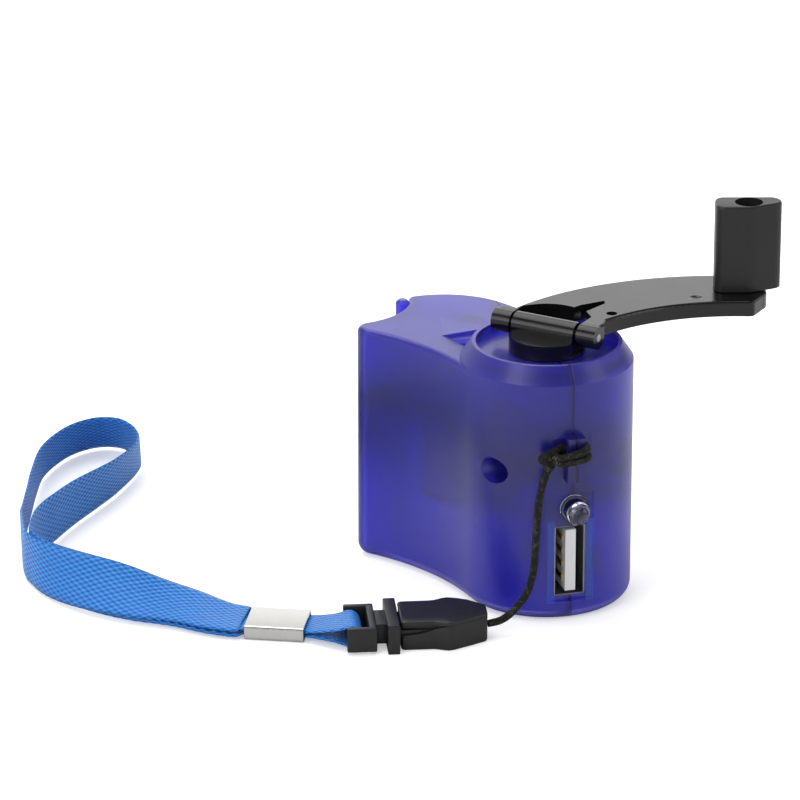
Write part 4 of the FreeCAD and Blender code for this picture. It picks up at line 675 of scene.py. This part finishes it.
# %% Socket of the buckle
def socket_rows():
    """Sections across the socket at stations along it. Each is a ring: up the near side with a notch that
    closes towards the tip, over the top, down the far side with its own notch, and back below."""
    x = np.concatenate([[-15.0, -14.8], np.linspace(-14.4, -9.6, 9), np.linspace(-9.2, -5.6, 19),
                        np.linspace(-5.2, -0.3, 14), [0.0]])
    near = np.interp(x, [-15, -9.3, -7.9, -7.0, -6.1, -3.0, 0], [-4.2, -4.2, -4.75, -5.05, -4.85, -3.2, -1.4])
    far_x = [-15, -9.6, -8.5, -7.2, -6.4, -5.0, -3, 0]
    far = np.interp(x, far_x, [5.1, 5.1, 5.3, 6.0, 6.2, 5.9, 5.0, 2.4])
    ease = np.interp(x, [-15, -14.8, -14.4, -0.3, 0], [0.25, 0.08, 0, 0, 0.25])
    near, far = near + ease, far - ease
    top = BUCKLE_TOP - ease
    low = ease
    shut = np.interp(x, [-15, -12.4, -10.5, -9.0, -7.0], [0.0, 0.12, 0.32, 0.62, 1.0])
    sill = SOCKET_SILL + (SOCKET_ROOF - SOCKET_SILL) * shut
    depth = 1.1 * (1 - shut) ** 0.5
    roof = np.full_like(x, SOCKET_ROOF)
    r = SOCKET_EDGE
    ring = [
        (near + r, low), (near + 0.09, low + 0.09), (near, low + r), (near, sill - 0.12),
        (near + 0.04, sill - 0.03), (near + 0.12 * (1 - shut), sill), (near + depth, sill),
        (near + depth, roof), (near + 0.05, roof), (near, roof + 0.05), (near, top - r),
        (near + 0.09, top - 0.09), (near + r, top), (0.75 * near + 0.25 * far, top + 0.06),
        (0.5 * near + 0.5 * far, top + 0.10), (0.25 * near + 0.75 * far, top + 0.06), (far - r, top),
        (far - 0.09, top - 0.09), (far, top - r), (far, roof + 0.05), (far - 0.05, roof),
        (far - depth, roof), (far - depth, sill), (far - 0.12 * (1 - shut), sill), (far - 0.04, sill - 0.03),
        (far, sill - 0.12), (far, low + r), (far - 0.09, low + 0.09), (far - r, low),
    ]
    y = np.stack([pair[0] for pair in ring], 1)
    z = np.minimum(np.stack([pair[1] for pair in ring], 1), BUCKLE_TOP)
    return from_tip(np.stack([np.broadcast_to(x[:, None], y.shape), y, z], -1))


socket = skin_of("socket_shell", socket_rows())
shade_edges(socket, CRISP_EDGE)
socket.data.materials.append(finishes["buckle_black"])


# %% Blocks with eased edges
def eased_block(name, x0, x1, y0, y1, z0, z1, ease=0.25, steps=3):
    """A block whose twelve edges are rounded. Its sections along z are rounded rectangles that draw in
    by a quarter circle at the top and at the bottom."""
    turn = np.linspace(0, np.pi / 2, steps + 1)
    rise, inset = ease * (1 - np.cos(turn)), ease * (1 - np.sin(turn))
    lift = np.concatenate([z0 + rise, z1 - rise[::-1]])
    draw = np.concatenate([inset, inset[::-1]])
    middle = np.array(((x0 + x1) / 2, (y0 + y1) / 2))
    half = np.array(((x1 - x0) / 2, (y1 - y0) / 2))
    corner = np.stack([np.cos(turn), np.sin(turn)], 1)
    quarter = np.array([[0, -1], [1, 0]])
    outline, signs = [], []
    for k, sign in enumerate(((1, 1), (-1, 1), (-1, -1), (1, -1))):
        outline.append(corner @ np.linalg.matrix_power(quarter.T, k))
        signs.append(np.tile(sign, (steps + 1, 1)))
    outline, signs = np.vstack(outline), np.vstack(signs)
    flat = middle + signs * (half - ease) + ease * outline
    rows = flat[None] - draw[:, None, None] * outline[None]
    heights = np.broadcast_to(lift[:, None, None], rows.shape[:2] + (1,))
    return skin_of(name, from_tip(np.concatenate([rows, heights], -1)))


prong_parts = [
    eased_block("prong_flange", -17.4, -15.3, -5.8, 6.6, 0.0, 5.3, 0.22),
    eased_block("prong_neck", -19.6, -17.2, -2.6, 3.9, 0.7, 4.3, 0.2),
    eased_block("prong_tine_near", -15.5, -8.6, -3.6, -2.3, 1.2, 3.6, 0.2),
    eased_block("prong_tine_far", -15.5, -8.6, 3.2, 4.5, 1.2, 3.6, 0.2),
    eased_block("prong_tongue", -15.5, -11.0, -0.4, 1.4, 1.5, 3.8, 0.2),
    eased_block("frame_near", -24.3, -19.2, -5.6, -4.35, 0.5, 4.8, 0.25),
    eased_block("frame_far", -24.3, -19.2, 4.5, 5.7, 0.5, 4.8, 0.25),
    eased_block("frame_front", -20.5, -19.2, -4.9, 5.0, 0.5, 4.8, 0.25),
    eased_block("frame_bar", -24.25, -22.8, -4.9, 5.0, 1.85, 3.25, 0.45),
]
prong = joined("prong_body", prong_parts)
shade_edges(prong, CRISP_EDGE)
prong.data.materials.append(finishes["buckle_black"])
print("buckle faces", len(socket.data.polygons), len(prong.data.polygons))

# %% [markdown]
# ## Crimp
# A strip of nickel-plated sheet is folded round both layers of the ribbon and pressed flat. A thin
# tube with a thickness added by a modifier would do too, but its ends would be cut square. Here it is
# one closed surface, the outer wall along its length and back along the inner wall, and the lips of
# its ends are rows of the same surface.

# %% Crimp
CRIMP_MIDDLE = np.array((-49.8, -5.4, 1.3)) / 1000
CRIMP_TURN = math.radians(-24.1)
CRIMP_LENGTH = 0.0104
CRIMP_OUTSIDE = (0.0045, 0.0013, 0.00055)
CRIMP_LIP = (0.0043, 0.0011, 0.00045)
CRIMP_INSIDE = (0.00408, 0.00078, 0.0003)
CRIMP_ROLL = 0.0001
CRIMP_DENT = 0.010
CRIMP_EDGE = 35


def rounded_ring(half_wide, half_high, corner, steps=6):
    """Points round an upright rectangle with round corners, as (across, up)."""
    bend = np.linspace(0, np.pi / 2, steps + 1)
    rows = []
    for sign_a, sign_b, first in ((1, 1, 0), (-1, 1, 1), (-1, -1, 2), (1, -1, 3)):
        angle = bend + first * np.pi / 2
        rows.append(np.stack([sign_a * (half_wide - corner) + corner * np.cos(angle),
                              sign_b * (half_high - corner) + corner * np.sin(angle)], 1))
    return np.vstack(rows)


def along_crimp(x, ring):
    """A ring put square across the crimp at a distance x from its middle."""
    c, s = math.cos(CRIMP_TURN), math.sin(CRIMP_TURN)
    out = np.zeros((len(ring), 3))
    out[:, 0] = CRIMP_MIDDLE[0] + x * c - ring[:, 0] * s
    out[:, 1] = CRIMP_MIDDLE[1] + x * s + ring[:, 0] * c
    out[:, 2] = CRIMP_MIDDLE[2] + ring[:, 1]
    return out


def crimp_rows():
    """A lip, the outer rings from end to end, pressed in a little at the middle by a squared cosine, the
    other lip, and the inner rings back."""
    outer, lip, inner = rounded_ring(*CRIMP_OUTSIDE), rounded_ring(*CRIMP_LIP), rounded_ring(*CRIMP_INSIDE)
    half = CRIMP_LENGTH / 2
    rolled = half - CRIMP_ROLL
    out = np.linspace(-rolled, rolled, 26)
    press = 1 - CRIMP_DENT * np.cos(out / half * np.pi * 0.5) ** 2
    rows = [along_crimp(-half, lip)] + [along_crimp(x, outer * (1, high)) for x, high in zip(out, press)]
    rows += [along_crimp(half, lip), along_crimp(rolled, inner), along_crimp(0.0, inner),
             along_crimp(-rolled, inner)]
    return np.stack(rows)


crimp = skin_of("crimp", crimp_rows(), ends="round")
shade_edges(crimp, CRIMP_EDGE)
crimp.data.materials.append(finishes["nickel"])
print("crimp", len(crimp.data.polygons), "faces")

# %% [markdown]
# ## Ribbon
# One woven strip: out of the crimp below, round the bar of the buckle, back through the crimp above, outward
# on its edge, round a wide loop, and back beside itself into the crimp. Settled cloth would fall well, but it
# is hard to lead through a crimp and round a bar. So the strip is laid along listed stations: each station
# has a middle, the directions of its width and of its thickness, and its width, and a soft curve joins them.

# %% Ribbon finish
RIBBON_DARK = (0.006, 0.070, 0.38)
RIBBON_LIGHT = (0.055, 0.39, 0.94)
RIBBON_RELIEF = 0.00022
material, tree, links = new_material("ribbon_blue")
place = add(tree, "ShaderNodeUVMap", uv_map="cloth_map")
threads = place_group(tree, links, weave, place.outputs["UV"], Threads_Along=3600.0, Threads_Across=6800.0)
ribbon_skin = shader(tree, links, Sheen_Weight=0.05, Sheen_Roughness=0.35, Specular_IOR_Level=0.32)
tone = calc(tree, links, "MULTIPLY_ADD", threads.outputs["Fray"], 0.5, 0.5)
# Painted shade: the weave is darker where a thread dips under the next one, and the fray noise adds random
# tone.
shade = calc(tree, links, "MULTIPLY", threads.outputs["Height"], tone)
links.new(two_tones(tree, links, shade, RIBBON_DARK, RIBBON_LIGHT), ribbon_skin.inputs["Base Color"])
links.new(spread(tree, links, threads.outputs["Fray"], 0.30, 0.48), ribbon_skin.inputs["Roughness"])
links.new(relief(tree, links, threads.outputs["Height"], RIBBON_RELIEF), ribbon_skin.inputs["Normal"])
finishes["ribbon_blue"] = material

# %% Ribbon stations
# Places and sizes are in millimetres here, and leans in degrees. PRESSED and LOOSE say how far a layer
# lies from the line that two layers share.
PRESSED = 0.36
LOOSE = 0.52
WIDE_CRIMP = 8.0
WIDE_RUN = 9.5
EDGE_Z = 0.35
GROUND_RUN = [(-57.8, -7.2), (-62.4, -4.2), (-67.2, 0.4), (-72.5, 4.0), (-77.5, 8.6), (-82.0, 14.8),
              (-84.8, 21.5), (-85.9, 29.0)]
GROUND_LOOP = [(-85.7, 34.0), (-83.7, 43.5), (-80.0, 55.2), (-76.6, 65.7), (-72.8, 75.0), (-66.7, 82.7),
               (-61.0, 85.8), (-56.6, 84.8), (-54.5, 79.6), (-55.4, 73.0), (-61.4, 63.6), (-66.7, 57.2),
               (-72.7, 50.4), (-78.0, 43.6), (-81.6, 38.8), (-84.0, 34.0)]
RUN_LEAN = (86, 84, 81, 76, 69, 60, 50, 39, 28, 18, 10, 4, 0, 0)
LOOP_STEPS = 34
LOOP_LEAN = 32
LEAN_START_STEPS = 4
LEAN_END_STEPS = 13
LEAN_WAY = np.array((-0.28, -0.96, 0.0))
WRAP = 1.8
BAR_CENTRE = (-23.5, 0.1, 2.55)
REACH_POINT = (-26.2, 1.4, 1.9)
REACH_LOW = 0.6
REACH_HIGH = 1.3
LAYER_GAP = 0.3
LOOP_RISE = 0.15
up = np.array((0.0, 0.0, 1.0))
crimp_middle, crimp_length = CRIMP_MIDDLE * 1000, CRIMP_LENGTH * 1000
crimp_along = np.array((math.cos(CRIMP_TURN), math.sin(CRIMP_TURN), 0.0))
buckle_along = np.array((math.cos(BUCKLE_TURN), math.sin(BUCKLE_TURN), 0.0))
buckle_back = np.array((-math.sin(BUCKLE_TURN), math.cos(BUCKLE_TURN), 0.0))


def leaning(middle, heading, lean, lift, width):
    """A station on a level heading. Lean 0 stands on edge and 90 lies flat. Returns middle, width
    direction, thickness direction and width in one row of ten numbers."""
    ahead = unit(np.array((heading[0], heading[1], 0.0)))
    side = np.array((-ahead[1], ahead[0], 0.0))
    c, s = math.cos(math.radians(lean)), math.sin(math.radians(lean))
    wide, thin = up * c + side * s, side * c - up * s
    return np.concatenate([np.asarray(middle) + thin * lift, wide, thin, [width]])


def ground(points, steps):
    """Evenly spaced points and headings of a line on the floor."""
    line = dense(np.array(points), steps)[0]
    return line, unit(np.gradient(line, axis=0))


def in_crimp(share, heading, lean):
    """A station inside the crimp, at a share of its length from its middle."""
    return leaning(crimp_middle + crimp_along * share * crimp_length, heading, lean, PRESSED, WIDE_CRIMP)


stations = []
for share in (0.04, 0.48):
    stations.append(in_crimp(share, crimp_along, 90))
reach_point = from_tip(REACH_POINT) * 1000
stations.append(leaning(reach_point, crimp_along + buckle_along, 90, REACH_LOW, WIDE_CRIMP))
for angle in np.radians((-90, -45, 0, 45, 90)):
    outward = buckle_along * math.cos(angle) + up * math.sin(angle)
    round_bar = from_tip(BAR_CENTRE) * 1000 + outward * WRAP
    stations.append(np.concatenate([round_bar, buckle_back, outward, [WIDE_CRIMP]]))
stations.append(leaning(reach_point, -crimp_along - buckle_along, -90, REACH_HIGH, WIDE_CRIMP))
for share in (0.48, -0.48):
    stations.append(in_crimp(share, -crimp_along, -90))
run_places = []
for spot, heading, lean in zip(*ground(GROUND_RUN, len(RUN_LEAN)), RUN_LEAN):
    side = np.array((-heading[1], heading[0], 0.0))
    turn = math.radians(-lean)
    wide = up * math.cos(turn) + side * math.sin(turn)
    low = math.sin(math.radians(lean)) * (LAYER_GAP + LOOSE) + EDGE_Z
    run_places.append((np.array((spot[0], spot[1], low)) + wide * WIDE_RUN / 2, heading, lean))
for middle, heading, lean in run_places:
    stations.append(leaning(middle, heading, -lean, LOOSE, WIDE_RUN))
for index, (spot, heading) in enumerate(zip(*ground(GROUND_LOOP, LOOP_STEPS))):
    share = min(1.0, index / LEAN_START_STEPS, (LOOP_STEPS - 1 - index) / LEAN_END_STEPS)
    turn = math.radians(LOOP_LEAN * share * share * (3 - 2 * share))
    ahead = np.array((heading[0], heading[1], 0.0))
    wide = unit(up * math.cos(turn) + LEAN_WAY * math.sin(turn))
    low_edge = np.array((spot[0], spot[1], EDGE_Z + LOOP_RISE))
    middle = low_edge + wide * WIDE_RUN / 2
    stations.append(np.concatenate([middle, wide, unit(np.cross(wide, ahead)), [WIDE_RUN]]))
for middle, heading, lean in reversed(run_places):
    stations.append(leaning(middle, -heading, lean, LOOSE, WIDE_RUN))
for share in (-0.48, -0.04):
    stations.append(in_crimp(share, crimp_along, 90))
stations = np.array(stations)
print(len(stations), "ribbon stations")


# %% Ribbon surface
def ribbon_rows(stations, count=900, across=14, thick=0.55):
    """Sections of the strip at evenly spaced places along the smooth curve through the stations, their
    map, and the length of the strip. A section is flat with round edges: at a share u of half its width
    its two faces stand apart by thick times the root of 1 - |u|^14."""
    fine, run = dense(stations, count)
    middle, wide, thin, width = fine[:, :3], unit(fine[:, 3:6]), fine[:, 6:9], fine[:, 9]
    thin = unit(thin - wide * np.sum(thin * wide, 1, keepdims=True))
    u = np.linspace(-1, 1, across)
    edge = np.sqrt(np.clip(1 - np.abs(u) ** 14, 0, 1))
    ring_u = np.concatenate([u, u[::-1][1:-1]])
    ring_t = np.concatenate([edge, -edge[::-1][1:-1]])
    half = (width / 2)[:, None, None]
    rows = (middle[:, None] + half * ring_u[None, :, None] * wide[:, None]
            + thick / 2 * ring_t[None, :, None] * thin[:, None])
    flat_u = np.broadcast_to(run[:, None], rows.shape[:2])
    flat_v = np.broadcast_to(ring_u[None] * WIDE_RUN / 2, rows.shape[:2])
    return rows / 1000, np.stack([flat_u, flat_v], -1) / 1000, run[-1] / 1000


ribbon_points, ribbon_map, RIBBON_LENGTH = ribbon_rows(stations)
ribbon = skin_of("ribbon", ribbon_points, flat_map=ribbon_map)
ribbon.data.materials.append(finishes["ribbon_blue"])
print("ribbon length", round(RIBBON_LENGTH * 1000, 1), "mm")

# %% [markdown]
# ## Put the finishes on the solids
# The solids keep their shape. The finishes could be set here one by one, but the record already names
# one for each solid, so it is read from there.

# %% Finishes on the solids
slot_of = {row["node"]: row["material_slot"] for row in frame["record"]["subparts"]}
for name, thing in nodes.items():
    thing.data.materials.clear()
    thing.data.materials.append(finishes[slot_of[name]])
print(len(slot_of), "solids dressed")

# %% [markdown]
# ## New pieces on their bodies
# Each new piece rides on the body that it belongs to and stands for its solid.

# %% Bodies and solids of the new pieces
for piece, body, node in (
    (cord, "housing", "lanyard_cord"),
    (hitch, "housing", "lanyard_hitch"),
    (socket, "housing", "buckle_socket"),
    (prong, "strap", "buckle_prong"),
    (crimp, "strap", "ribbon_crimp"),
    (ribbon, "strap", "wrist_ribbon"),
):
    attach(piece, body)
    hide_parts(node)
